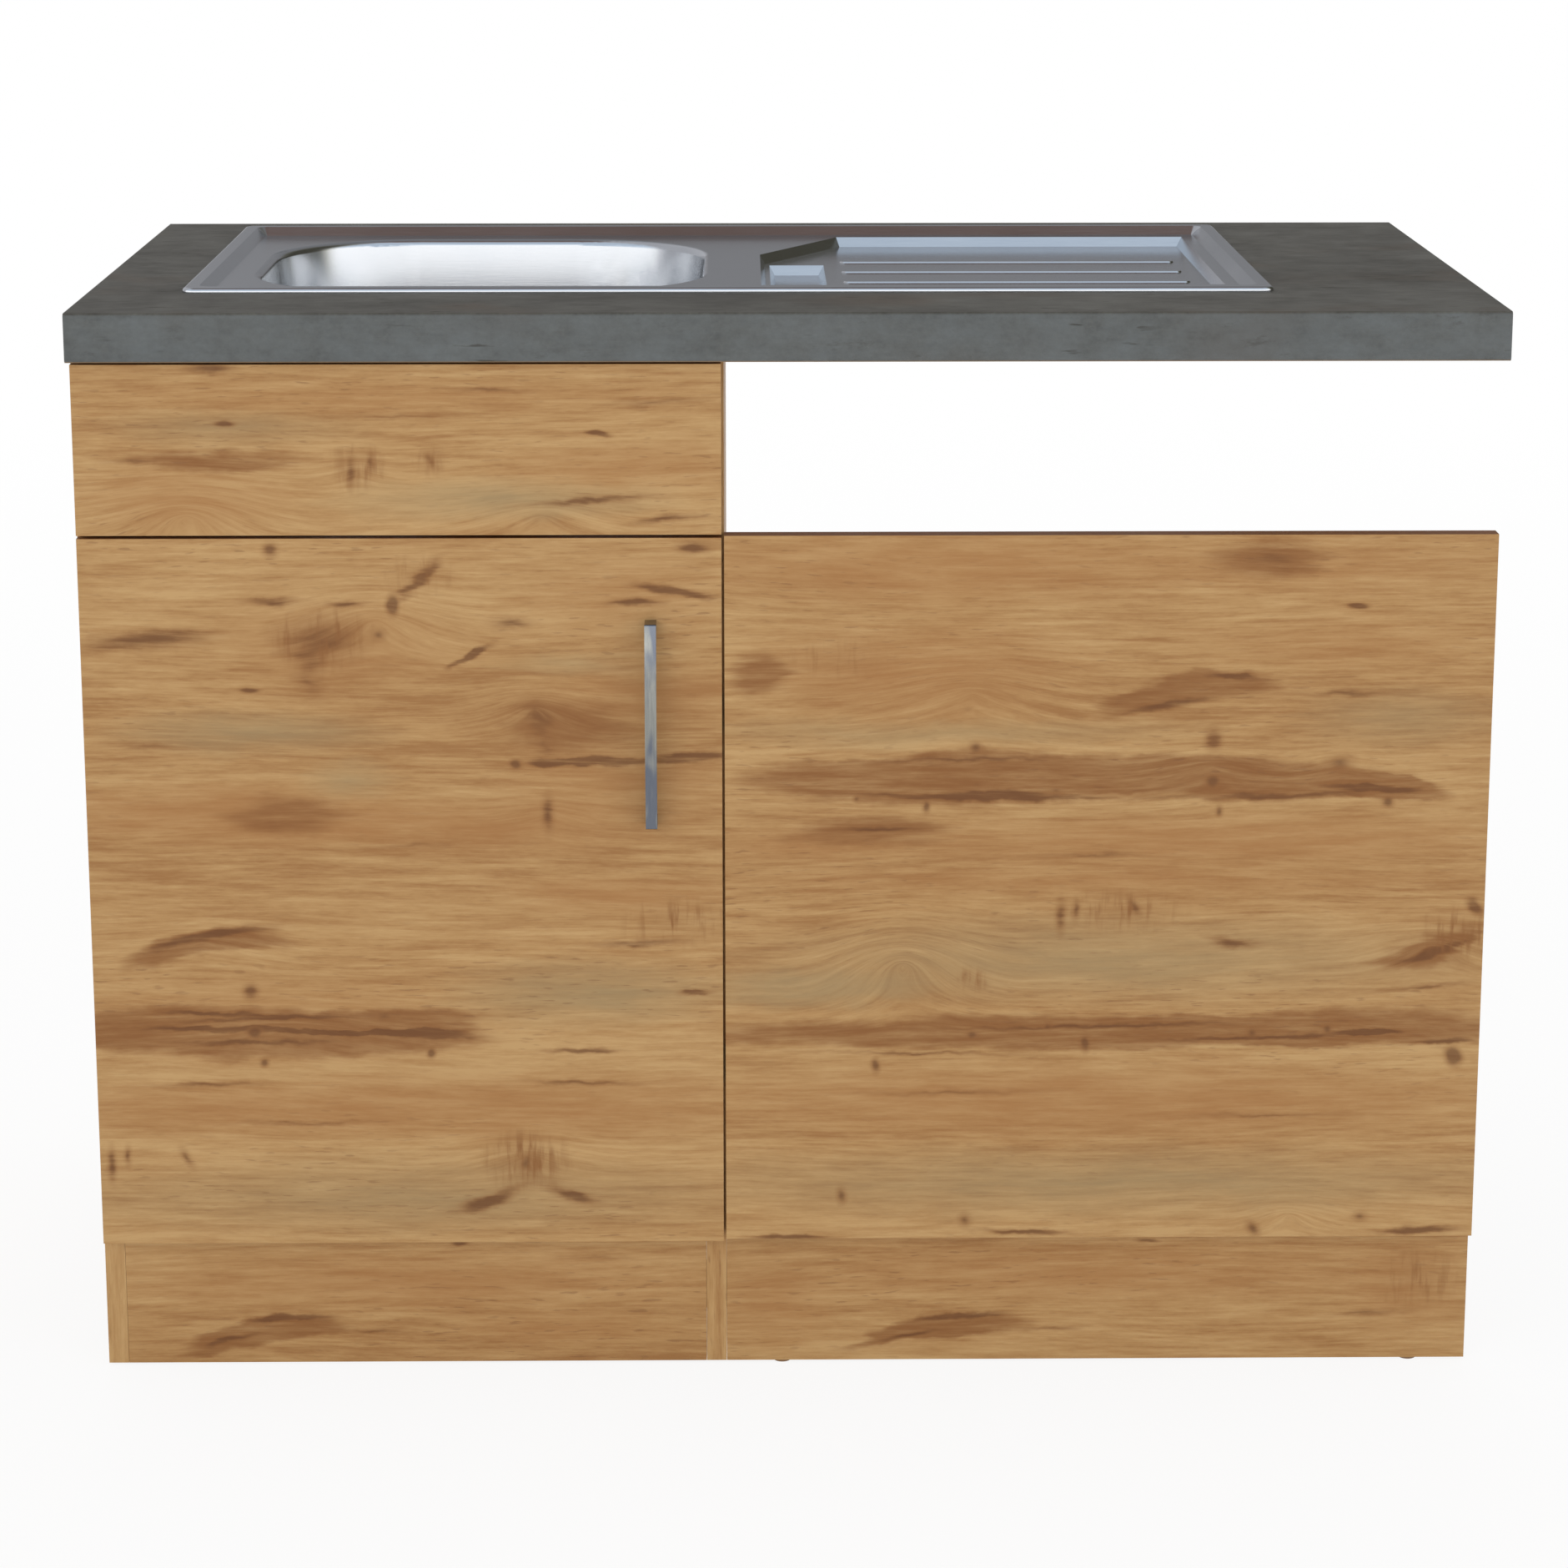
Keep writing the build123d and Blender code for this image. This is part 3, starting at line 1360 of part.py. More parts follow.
trap_cup_low_z = trap_low_z - trap_cup_height
with BuildPart() as trap_cup:
    turned(
        [
            (0, trap_cup_low_z),
            (trap_body_radius - trap_wall, trap_cup_low_z),
            (trap_body_radius, trap_cup_low_z + trap_wall),
            (trap_body_radius, trap_low_z - trap_grip_height),
            (trap_cup_radius, trap_low_z - trap_grip_height),
            (trap_cup_radius, trap_low_z),
            (trap_inner, trap_low_z),
            (trap_inner, trap_cup_low_z + trap_wall),
            (0, trap_cup_low_z + trap_wall),
        ],
        drain,
    )
sub_parts["trap_cup"] = trap_cup

trap_port_end_y = bowl_y + trap_port_reach
outlet_length = rear_y - trap_port_end_y
with BuildPart() as trap_outlet:
    with Locations(Plane(origin=(bowl_x, trap_port_end_y, trap_port_z), z_dir=(0, 1, 0))):
        Cylinder(
            pipe_radius - outlet_spigot_step,
            outlet_spigot_length,
            align=(Align.CENTER, Align.CENTER, Align.MIN),
        )
    with Locations(
        Plane(origin=(bowl_x, trap_port_end_y + outlet_spigot_length, trap_port_z), z_dir=(0, 1, 0))
    ):
        Cylinder(
            pipe_radius,
            outlet_length - outlet_spigot_length,
            align=(Align.CENTER, Align.CENTER, Align.MIN),
        )
    with Locations(Plane(origin=(bowl_x, trap_port_end_y, trap_port_z), z_dir=(0, 1, 0))):
        Cylinder(
            pipe_bore,
            outlet_length,
            align=(Align.CENTER, Align.CENTER, Align.MIN),
            mode=Mode.SUBTRACT,
        )
sub_parts["trap_outlet"] = trap_outlet

# A union nut bridges each joint: wide over the threaded end, narrow over the pipe.
nut_spots = [
    (Plane(origin=(*drain, spigot_low_z), z_dir=(0, 0, 1)), waste_spigot_radius),
    (Plane(origin=(*drain, trap_neck_top_z), z_dir=(0, 0, -1)), trap_neck_radius),
    (Plane(origin=(bowl_x, trap_port_end_y, trap_port_z), z_dir=(0, -1, 0)), trap_port_radius),
]
with BuildPart() as union_nuts:
    for plane, thread_radius in nut_spots:
        with BuildSketch(plane.offset(-nut_lip)):
            RegularPolygon(thread_radius + nut_wall, nut_flat_count)
            Circle(pipe_radius + nut_play, mode=Mode.SUBTRACT)
        extrude(amount=nut_height)
        with BuildSketch(plane):
            Circle(thread_radius + nut_play)
        extrude(amount=nut_height, mode=Mode.SUBTRACT)
sub_parts["union_nuts"] = union_nuts

for name, sub_part in sub_parts.items():
    sub_part.part.label = name
    export_step(sub_part.part, f"parts/{name}.step")
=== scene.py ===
import json
from math import cos, radians, sin

import bmesh
import bpy
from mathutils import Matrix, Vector


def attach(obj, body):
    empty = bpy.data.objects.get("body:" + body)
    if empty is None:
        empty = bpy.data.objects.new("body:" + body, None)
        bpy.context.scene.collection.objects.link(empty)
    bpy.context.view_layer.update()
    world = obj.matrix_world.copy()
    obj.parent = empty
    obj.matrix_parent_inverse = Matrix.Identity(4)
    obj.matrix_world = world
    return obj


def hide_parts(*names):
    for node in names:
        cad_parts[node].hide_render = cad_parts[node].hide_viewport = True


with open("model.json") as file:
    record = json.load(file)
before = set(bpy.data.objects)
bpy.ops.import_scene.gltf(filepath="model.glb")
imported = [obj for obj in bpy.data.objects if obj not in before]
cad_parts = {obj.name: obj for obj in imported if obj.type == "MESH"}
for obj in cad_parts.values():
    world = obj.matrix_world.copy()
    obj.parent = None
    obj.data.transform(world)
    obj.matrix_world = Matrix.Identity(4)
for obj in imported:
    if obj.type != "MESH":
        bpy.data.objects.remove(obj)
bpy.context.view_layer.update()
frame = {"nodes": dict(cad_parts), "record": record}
nodes = frame["nodes"]

# ---------------------------------------------------------------- door, fixed front, dishwasher front
# 16 mm boards faced with a knotty oak print, the grain running across the unit. The door hangs on
# two concealed hinges, and steel angles hold the other two boards. The print has fine fibres,
# short dark pores, streaks and small knots, and a joint between two printed planks.


def metres(millimetres):
    return millimetres / 1000


class Wire:
    """A shader socket. Sums, differences and products of wires add Math nodes."""

    def __init__(self, tree, socket):
        self.tree = tree
        self.socket = socket

    def node(self, kind, settings=None, inputs=None, output=0):
        """Adds any node: its type, its settings, then the values or wires of its sockets."""
        made = self.tree.nodes.new(kind)
        for name, value in (settings or {}).items():
            if name == "stops":
                ramp = made.color_ramp
                while len(ramp.elements) < len(value):
                    ramp.elements.new(1.0)
                for element, (place, colour) in zip(ramp.elements, value):
                    element.position = place
                    element.color = colour
            else:
                setattr(made, name, value)
        for name, value in (inputs or {}).items():
            if isinstance(value, Wire):
                self.tree.links.new(value.socket, made.inputs[name])
            else:
                made.inputs[name].default_value = value
        return Wire(self.tree, made.outputs[output])

    def math(self, operation, *values):
        return self.node("ShaderNodeMath", {"operation": operation}, dict(enumerate(values)))

    def __add__(self, other):
        return self.math("ADD", self, other)

    __radd__ = __add__

    def __sub__(self, other):
        return self.math("SUBTRACT", self, other)

    def __rsub__(self, other):
        return self.math("SUBTRACT", other, self)

    def __mul__(self, other):
        return self.math("MULTIPLY", self, other)

    __rmul__ = __mul__

    def times_plus(self, factor, base):
        """This wire times a factor, on top of a base."""
        return self.math("MULTIPLY_ADD", self, factor, base)

    def capped(self):
        return self.math("MINIMUM", self, 1.0)

    def swing(self, span):
        """Noise from 0 to 1 as a swing about 0, with the span from end to end."""
        return (self - 0.5) * span

    def step(self, low, high, to_low=0.0, to_high=1.0):
        """A smooth step from low to high."""
        return self.node(
            "ShaderNodeMapRange",
            {"interpolation_type": "SMOOTHSTEP"},
            {"Value": self, "From Min": low, "From Max": high, "To Min": to_low, "To Max": to_high},
        )

    def mix(self, first, second):
        """A colour: the first where this wire is 0, the second where it is 1."""
        return self.node("ShaderNodeMix", {"data_type": "RGBA"}, {0: self, 6: first, 7: second}, 2)

    def ramp(self, stops):
        """A colour from a list of stops, each a place from 0 to 1 and its colour."""
        return self.node("ShaderNodeValToRGB", {"stops": stops}, {0: self})

    def moved(self, step):
        return self.node("ShaderNodeVectorMath", {"operation": "ADD"}, {0: self, 1: step})

    def scaled(self, factors):
        return self.node("ShaderNodeVectorMath", {"operation": "MULTIPLY"}, {0: self, 1: factors})

    def noise(self, cycles, detail=2.0, roughness=0.5):
        """Noise with its own number of cycles per metre along each axis."""
        inputs = {"Vector": self.scaled(cycles), "Scale": 1.0, "Detail": detail, "Roughness": roughness}
        return self.node("ShaderNodeTexNoise", None, inputs)

    def axis(self, name):
        return self.node("ShaderNodeSeparateXYZ", None, {0: self}, "XYZ".index(name))

    def joined(self, x, y, z):
        return self.node("ShaderNodeCombineXYZ", None, {0: x, 1: y, 2: z})

    def spot(self, x, y, half_x, half_y, tilt=0.0, bend=0.0):
        """1 at a point of the board and 0 outside an ellipse round it, sizes in mm, ends bent down."""
        inputs = {
            "Vector": self,
            "Location": (metres(x), metres(y), 0),
            "Rotation": (0, 0, radians(tilt)),
            "Scale": (metres(half_x), metres(half_y), 1),
        }
        local = self.node("ShaderNodeMapping", {"vector_type": "TEXTURE"}, inputs)
        if bend:
            along = local.axis("X")
            local = local.moved(local.joined(0.0, along * along * bend, 0.0))
        return local.node("ShaderNodeTexGradient", {"gradient_type": "SPHERICAL"}, {0: local}, 1)

    def bump(self, height, distance):
        return self.node("ShaderNodeBump", None, {"Height": height, "Distance": distance, "Strength": 1.0})


def srgb(red, green, blue):
    """A colour as it looks on a screen, from 0 to 255, for a shader socket."""
    shares = [c / 255 for c in (red, green, blue)]
    return (*[c / 12.92 if c <= 0.04045 else ((c + 0.055) / 1.055) ** 2.4 for c in shares], 1.0)


def material(name, look, **fixed):
    """A Principled material. look(place, normal) gives the sockets that vary, fixed the others."""
    made = bpy.data.materials.new(name)
    made.use_nodes = True
    tree = made.node_tree
    shader = tree.nodes["Principled BSDF"]
    coordinates = tree.nodes.new("ShaderNodeTexCoord")
    place = Wire(tree, coordinates.outputs["Object"])
    normal = Wire(tree, coordinates.outputs["Normal"])
    for socket, wire in look(place, normal).items():
        tree.links.new(wire.socket, shader.inputs[socket])
    for socket, value in fixed.items():
        shader.inputs[socket.replace("_", " ")].default_value = value
    return made


def dress(made, *names):
    """Gives CAD nodes their material."""
    for name in names:
        nodes[name].data.materials.clear()
        nodes[name].data.materials.append(made)


WELD_REACH = 0.00002
SHARP_ANGLE = radians(40)


def soften(width, *names):
    """Rounds the sharp edges of CAD nodes by a fraction of a millimetre."""
    for name in names:
        weld = nodes[name].modifiers.new("weld", "WELD")
        weld.merge_threshold = WELD_REACH
        bevel = nodes[name].modifiers.new("edges", "BEVEL")
        bevel.width = width
        bevel.segments = 2
        bevel.limit_method = "ANGLE"
        bevel.angle_limit = SHARP_ANGLE
        bevel.use_clamp_overlap = True
        bevel.harden_normals = False


OAK_LIGHT = srgb(187, 151, 102)
OAK_MIDDLE = srgb(172, 133, 85)
OAK_BROWN = srgb(152, 109, 64)
OAK_ORANGE = srgb(160, 113, 66)
OAK_BAND = srgb(132, 87, 46)
OAK_KNOT = srgb(90, 53, 26)
OAK_PORE = srgb(118, 80, 50)
OAK_OLIVE = srgb(152, 131, 94)
# Brown for the upward faces of the boards: painted shade.
OAK_TOP_SHADE = srgb(128, 78, 44)
CHIP_LIGHT = srgb(199, 168, 124)
CHIP_DARK = srgb(126, 92, 60)

# The print's figure, in cycles per metre along the grain, across it and through the board.
SWAYS = (1.6, 7.0, 1.0)
WAVES = (9.0, 24.0, 1.0)
SHAKES = (14.0, 120.0, 1.0)
RIPPLES = (50.0, 80.0, 1.0)
BANDS = (0.8, 13.0, 1.0)
FIBRES = (14.0, 290.0, 1.0)
HAIRS = (34.0, 900.0, 1.0)
FLAMES = (13.0, 110.0, 1.0)
FLECKS = (120.0, 420.0, 1.0)
RAYS = (190.0, 26.0, 1.0)
CROWDS = (2.4, 12.0, 1.0)
PORES = (62.0, 430.0, 1.0)
CHIPS = (260, 260, 160)

# How far its lines stray, its relief and the blur of its joint, in metres.
SWAY_REACH = 0.036
WAVE_REACH = 0.022
SHAKE_REACH = 0.026
RIPPLE_REACH = 0.008
OAK_RELIEF = 0.00008
JOINT_BLUR = 0.001

# How steeply each kind of mark sets in, and the half length in mm below which it keeps its outline.
MARK_EDGES = {"warm": 1.5, "olive": 1.5, "bands": 3.2, "streaks": 1.7, "rays": 1.6, "knots": 1.3}
SMALL_MARK = 14


def flowing(board, at, swirls):
    """The place on the print, where the lines sway and flow round the knots."""
    rise = at.noise(SWAYS).swing(SWAY_REACH)
    for x, y, half_x, half_y, height in swirls:
        dome = board.spot(x, y, half_x, half_y)
        rise = (dome * dome).times_plus(metres(-height), rise)
    return at.moved(at.joined(0.0, rise, 0.0))


def outlined(board, at):
    """The place on the board for marks with ragged, feathered and calm outlines."""
    wave = at.noise(WAVES, 3.0, 0.6).swing(WAVE_REACH)
    shake = at.noise(SHAKES, 3.0).swing(SHAKE_REACH)
    ripple = at.noise(RIPPLES, 3.0).swing(RIPPLE_REACH)
    ragged = board.moved(at.joined(shake * 2.4, ripple + wave, 0.0))
    feathered = board.moved(at.joined(shake, ripple + wave * 0.25, 0.0))
    calm = board.moved(at.joined(shake * 0.16, ripple * 0.5, 0.0))
    return ragged, feathered, calm


def marked(colour, marks, board, at, fibres, flames):
    """The print's colour with the marks of one board laid over it."""
    ragged, feathered, calm = outlined(board, at)

    def mask(kind, where):
        total = 0.0
        for x, y, half_x, half_y, tilt, strength, *bend in marks[kind]:
            spot = (calm if half_x < SMALL_MARK else where).spot(x, y, half_x, half_y, tilt, *bend)
            total = spot.times_plus(strength * MARK_EDGES[kind], total)
        return total.capped()

    for kind, tint in (("warm", OAK_ORANGE), ("olive", OAK_OLIVE)):
        if kind in marks:
            colour = (mask(kind, ragged) * (flames * 0.8 + 0.2)).mix(colour, tint)
    if "bands" in marks:
        inside = mask("bands", ragged).step(0.0, 0.9)
        colour = (inside * (flames * 1.1 + fibres * 0.8 - 0.14)).mix(colour, OAK_BAND)
    if "streaks" in marks:
        streak = mask("streaks", feathered)
        colour = (streak.step(0.0, 0.9) * (flames * 0.9 + 0.15)).mix(colour, OAK_BAND)
        dark = (streak * (fibres * 1.2 + flames * 0.7)).step(0.4, 1.05)
        colour = (dark * 0.66).mix(colour, OAK_KNOT)
    if "rays" in marks:
        ray = at.noise(RAYS, 3.0).step(0.46, 0.7)
        colour = (mask("rays", feathered) * (ray * 0.7 + 0.24)).mix(colour, OAK_BAND)
    if "knots" in marks:
        knot = mask("knots", calm)
        colour = (knot.step(0.0, 0.7) * 0.45).mix(colour, OAK_BAND)
        colour = (knot.step(0.45, 1.0) * (0.35 + fibres * 0.5)).mix(colour, OAK_KNOT)
    return colour


def oak(name, grain, seed, marks=None, joint=None, bare=None):
    """The oak print. grain names the axes along the grain, across it and through the board.

    marks holds lists of (along, across, half length, half height, tilt, strength, bend) in mm and
    degrees: warm and olive tints, brown bands, streaks, knots, and rays across the grain. Its
    swirls (along, across, half length, half height, rise) are where the grain flows round a knot.
    joint is the height of the joint between two planks, bare the axis whose far face is raw.
    """
    marks = marks or {}

    def look(place, normal):
        across = place.axis(grain[1])
        if bare:
            across = across + place.axis(grain[2])
        board = place.joined(place.axis(grain[0]), across, 0.0)
        at = board.moved((seed, seed * 0.37, seed * 1.7))
        bent = flowing(board, at, marks.get("swirls", ()))
        bands = bent.noise(BANDS, 3.0, 0.55)
        fibres = bent.noise(FIBRES, 4.0, 0.62)
        hairs = bent.noise(HAIRS)
        flames = bent.noise(FLAMES, 4.0, 0.68)
        flecks = at.noise(FLECKS, 3.0, 0.7)
        crowd = at.noise(CROWDS).step(0.42, 0.64, 0.1, 0.42)
        pores = bent.noise(PORES, 1.0).step(0.62, 0.74) * crowd

        tone = bands * 0.5 + fibres.swing(0.5) + flames.swing(0.62) + hairs.swing(0.16) + 0.26
        tone = tone + flecks.swing(0.14)
        if joint is not None:
            seam = metres(joint)
            upper = place.axis(grain[1]).step(seam - JOINT_BLUR, seam + JOINT_BLUR)
            tone = tone + upper * 0.05 - 0.04
        colour = tone.ramp([(0.34, OAK_LIGHT), (0.52, OAK_MIDDLE), (0.70, OAK_BROWN)])
        colour = pores.mix(marked(colour, marks, board, at, fibres, flames), OAK_PORE)
        rough = 0.46 + fibres.swing(0.2) + pores * 0.12
        height = fibres * 0.6 + flecks * 0.3 - pores
        if bare:
            chip = place.noise(CHIPS, 3.0).step(0.3, 0.7)
            open_face = normal.axis(bare).step(0.85, 0.95)
            colour = open_face.mix(colour, chip.mix(CHIP_DARK, CHIP_LIGHT))
            rough = rough + open_face * 0.4
            height = height + open_face * chip * 4.0
        else:
            # Faces that point up are darkened to brown: painted shade, as under the worktop.
            top = normal.axis("Z").step(0.85, 0.95) * 0.85
            colour = top.mix(colour, OAK_TOP_SHADE)
        return {"Base Color": colour, "Roughness": rough, "Normal": place.bump(height, OAK_RELIEF)}

    return material(name, look, Specular_IOR_Level=0.3)


door_marks = {
    "warm": [
        (-446, 465, 190, 34, 0, 1.0), (-250, 455, 200, 26, 0, 0.7), (-300, 225, 420, 34, 0, 1.0),
        (-110, 560, 90, 34, 0, 0.7), (-401, 297, 200, 45, 0, 0.6), (-350, 600, 110, 44, 0, 0.6),
        (-120, 640, 110, 40, 0, 0.5), (-130, 400, 120, 20, 0, 0.8), (-130, 490, 120, 40, 0, 0.6),
    ],
    "olive": [
        (-342, 494, 44, 20, 0, 0.6), (-150, 320, 140, 34, 0, 0.8), (-420, 530, 130, 22, 0, 0.7),
        (-300, 150, 330, 40, 0, 0.6), (-170, 585, 60, 14, 0, 0.5),
    ],
    "bands": [
        (-430, 288, 210, 24, -1, 0.9), (-310, 297, 80, 13, 0, 0.7), (-459, 361, 84, 13, 10, 0.6, 1.0),
        (-390, 465, 60, 20, 0, 0.4), (-170, 535, 60, 26, 0, 0.4),
    ],
    "streaks": [
        (-278, 285, 48, 6, 0, 0.9), (-285, 652, 36, 8, 45, 0.8), (-399, 676, 10, 10, 0, 0.7),
        (-363, 605, 54, 28, 0, 0.55), (-370, 573, 20, 30, 10, 0.4), (-495, 605, 84, 12, 4, 0.7),
        (-395, 635, 34, 6, 0, 0.6), (-344, 633, 26, 5, 0, 0.6), (-419, 565, 13, 4, 0, 0.8),
        (-87, 643, 50, 6, -9, 0.9), (-119, 633, 34, 5, 0, 0.7), (-247, 593, 28, 5, 27, 1.0, 0.8),
        (-216, 618, 26, 9, 0, 0.6), (-198, 546, 30, 20, 0, 0.5), (-149, 507, 70, 6, 0, 1.2),
        (-77, 511, 44, 7, 0, 1.0), (-190, 521, 16, 26, 0, 0.4), (-188, 465, 8, 26, 0, 0.6),
        (-430, 290, 110, 4, -1, 1.2), (-325, 288, 80, 4, 1, 1.1), (-455, 303, 70, 3, 0, 0.8),
        (-70, 677, 20, 8, 0, 0.7), (-459, 366, 84, 7, 12, 0.8, 1.0), (-400, 300, 150, 4, 2, 0.7, 0.6),
        (-420, 279, 140, 5, 0, 0.7), (-424, 321, 10, 12, 0, 0.7), (-117, 360, 62, 5, 3, 0.7),
        (-241, 146, 46, 8, 19, 0.8, -0.8), (-172, 149, 32, 8, -19, 0.8, -0.8), (-162, 271, 44, 4, 0, 0.8),
        (-73, 319, 20, 4, 0, 0.8), (-300, 440, 60, 4, 3, 0.4), (-500, 520, 40, 4, -2, 0.4),
        (-380, 212, 90, 4, 1, 0.5), (-160, 245, 90, 4, -1, 0.5), (-460, 245, 80, 4, 1, 0.5),
        (-539, 177, 6, 24, 0, 0.6), (-526, 185, 5, 15, 0, 0.5), (-479, 183, 6, 16, 30, 0.5),
    ],
    "rays": [(-363, 605, 44, 30, 0, 1.0), (-89, 377, 50, 24, 0, 0.7), (-209, 181, 40, 30, 0, 1.0),
             (-285, 655, 30, 20, 0, 0.6)],
    "knots": [
        (-306, 632, 8, 12, 0, 1.2), (-317, 609, 10, 8, 0, 0.7), (-198, 550, 12, 9, 0, 0.5),
        (-213, 505, 8, 7, 0, 1.0), (-422, 287, 10, 8, 0, 1.0), (-320, 300, 17, 11, 0, 0.6),
        (-415, 262, 6, 6, 0, 0.9), (-283, 270, 6, 7, 0, 1.0), (-209, 178, 9, 16, -15, 0.7),
    ],
    "swirls": [
        (-320, 618, 100, 56, 26), (-198, 548, 80, 40, 22), (-400, 290, 160, 36, 12),
        (-209, 181, 90, 40, 20), (-190, 465, 60, 30, 10), (-459, 361, 100, 34, 10),
    ],
}
small_marks = {
    "warm": [(-463, 715, 100, 34, 0, 0.7), (-120, 740, 130, 26, 0, 0.6), (-300, 795, 240, 16, 0, 0.5)],
    "olive": [(-220, 715, 150, 20, 0, 0.7), (-430, 770, 120, 20, 0, 0.5)],
    "bands": [(-440, 745, 90, 10, 0, 0.4)],
    "streaks": [
        (-336, 737, 7, 22, 0, 0.6), (-321, 743, 5, 13, 0, 0.6), (-275, 745, 6, 14, 30, 0.5),
        (-443, 816, 30, 8, 0, 0.7), (-432, 774, 13, 4, 0, 0.8), (-147, 766, 14, 4, 0, 0.9),
        (-100, 790, 70, 5, 3, 0.5), (-230, 800, 60, 4, -2, 0.5), (-500, 745, 46, 4, 0, 0.5),
        (-150, 715, 80, 5, 4, 0.6, 0.8), (-300, 780, 90, 4, 0, 0.4), (-90, 700, 50, 6, 6, 0.6, 1.0),
    ],
    "rays": [(-330, 740, 24, 22, 0, 0.8), (-275, 745, 14, 14, 0, 0.6)],
    "swirls": [(-463, 700, 110, 56, 34), (-190, 700, 100, 46, 22), (-330, 735, 40, 24, 8)],
}
wide_marks = {
    "warm": [
        (330, 442, 300, 26, 0, 1.0), (20, 440, 90, 20, 0, 0.8), (120, 661, 260, 38, 0, 0.9),
        (250, 228, 420, 38, 0, 1.0), (100, 580, 160, 50, 0, 0.8), (430, 600, 140, 26, 0, 0.5),
        (250, 410, 360, 16, 0, 0.6), (420, 660, 160, 30, 0, 0.5),
    ],
    "olive": [
        (11, 322, 110, 22, 0, 0.9), (250, 345, 340, 44, 0, 0.7), (250, 160, 420, 36, 0, 0.7),
        (120, 530, 240, 14, 0, 0.5), (480, 540, 100, 30, 0, 0.5),
    ],
    "bands": [
        (130, 493, 200, 24, 1, 0.9), (340, 492, 170, 21, -1, 0.9), (468, 484, 62, 13, -4, 0.9),
        (310, 565, 84, 15, 8, 0.7, 1.0), (250, 284, 430, 17, 0, 0.7), (420, 290, 170, 18, 2, 0.6),
        (60, 450, 80, 16, 0, 0.5), (372, 666, 60, 20, 0, 0.4), (505, 352, 60, 14, 18, 0.5, -0.8),
        (-23, 575, 34, 22, 0, 0.5),
    ],
    "streaks": [
        (345, 574, 40, 5, -2, 0.8, 0.5), (296, 552, 70, 6, 10, 0.7, 1.0), (130, 508, 190, 4, 1, 0.6),
        (150, 478, 180, 5, -1, 0.8), (380, 478, 120, 5, 1, 0.7), (458, 484, 66, 5, -3, 0.9),
        (168, 482, 48, 4, 0, 0.7), (331, 524, 11, 14, 0, 0.7), (372, 666, 54, 16, 0, 0.5),
        (441, 630, 13, 4, 0, 0.9), (214, 381, 7, 23, 0, 0.6), (226, 386, 5, 15, 0, 0.6),
        (272, 388, 6, 14, 30, 0.6), (349, 359, 34, 6, -10, 0.6, -0.8), (509, 350, 56, 7, 18, 0.8, -0.8),
        (540, 388, 8, 14, 40, 0.8), (250, 290, 260, 4, 1, 0.6), (380, 281, 180, 4, 2, 0.7),
        (100, 268, 160, 3, -1, 0.5), (459, 285, 32, 4, 0, 0.8), (521, 277, 38, 4, -2, 0.9),
        (-1, 114, 44, 4, 0, 0.8), (190, 118, 62, 4, -3, 0.7), (507, 118, 54, 5, 2, 0.8),
        (69, 452, 70, 5, 0, 0.6), (240, 430, 120, 4, 0, 0.4), (380, 215, 120, 4, 0, 0.4),
        (130, 235, 130, 4, 1, 0.4), (500, 322, 60, 4, 6, 0.5), (430, 560, 70, 5, 0, 0.5),
    ],
    "rays": [(260, 385, 60, 20, 0, 0.7), (530, 365, 36, 26, 0, 0.9), (145, 330, 16, 14, 0, 0.6),
             (40, 590, 50, 20, 0, 0.4)],
    "knots": [
        (331, 490, 11, 9, 0, 0.9), (331, 524, 9, 9, 0, 0.5), (431, 504, 19, 12, 0, 0.7),
        (469, 473, 8, 7, 0, 0.9), (337, 466, 5, 8, 0, 0.8), (145, 517, 9, 8, 0, 0.8),
        (53, 476, 5, 5, 0, 0.7), (107, 470, 5, 9, 0, 0.9), (209, 483, 12, 6, 0, 0.6),
        (145, 283, 9, 6, 0, 0.8), (205, 290, 7, 6, 0, 0.7), (69, 258, 6, 10, 0, 0.9),
        (235, 276, 7, 11, 0, 0.9), (367, 284, 9, 8, 0, 0.7), (427, 287, 7, 7, 0, 0.8),
        (528, 264, 10, 13, 30, 1.2), (42, 149, 7, 12, 0, 0.8), (141, 128, 9, 10, 0, 0.7),
        (372, 120, 8, 12, 30, 0.8), (458, 130, 10, 7, 0, 0.7), (139, 333, 5, 9, 0, 0.5),
    ],
    "swirls": [
        (90, 340, 100, 70, 44), (143, 560, 120, 60, 22), (509, 354, 90, 40, 20),
        (331, 500, 80, 36, 12), (400, 130, 60, 30, 14), (431, 504, 50, 24, 8),
    ],
}

dress(oak("oak_door", "XZY", 3.1, door_marks, 197), "door_panel")
dress(oak("oak_small", "XZY", 7.7, small_marks, 763), "fixed_front")
dress(oak("oak_wide", "XZY", 12.3, wide_marks, 197), "dishwasher_front")
soften(0.0007, "door_panel", "fixed_front", "dishwasher_front")

# ---------------------------------------------------------------- plinths
# Two 16 mm boards of the same print on steel angles, one between the side panels and one under the
# dishwasher front. One dark figure of the print comes on both.


def dark_figure(x):
    """The band and the streaks of the figure, from the middle of its band."""
    band = (x, 30, 84, 13, 8, 0.8, 1.0)
    streaks = [(x + 20, 40, 60, 5, 4, 0.9, 1.0), (x - 25, 22, 50, 5, 14, 0.7), (x + 95, 28, 50, 4, 0, 0.5)]
    return band, streaks


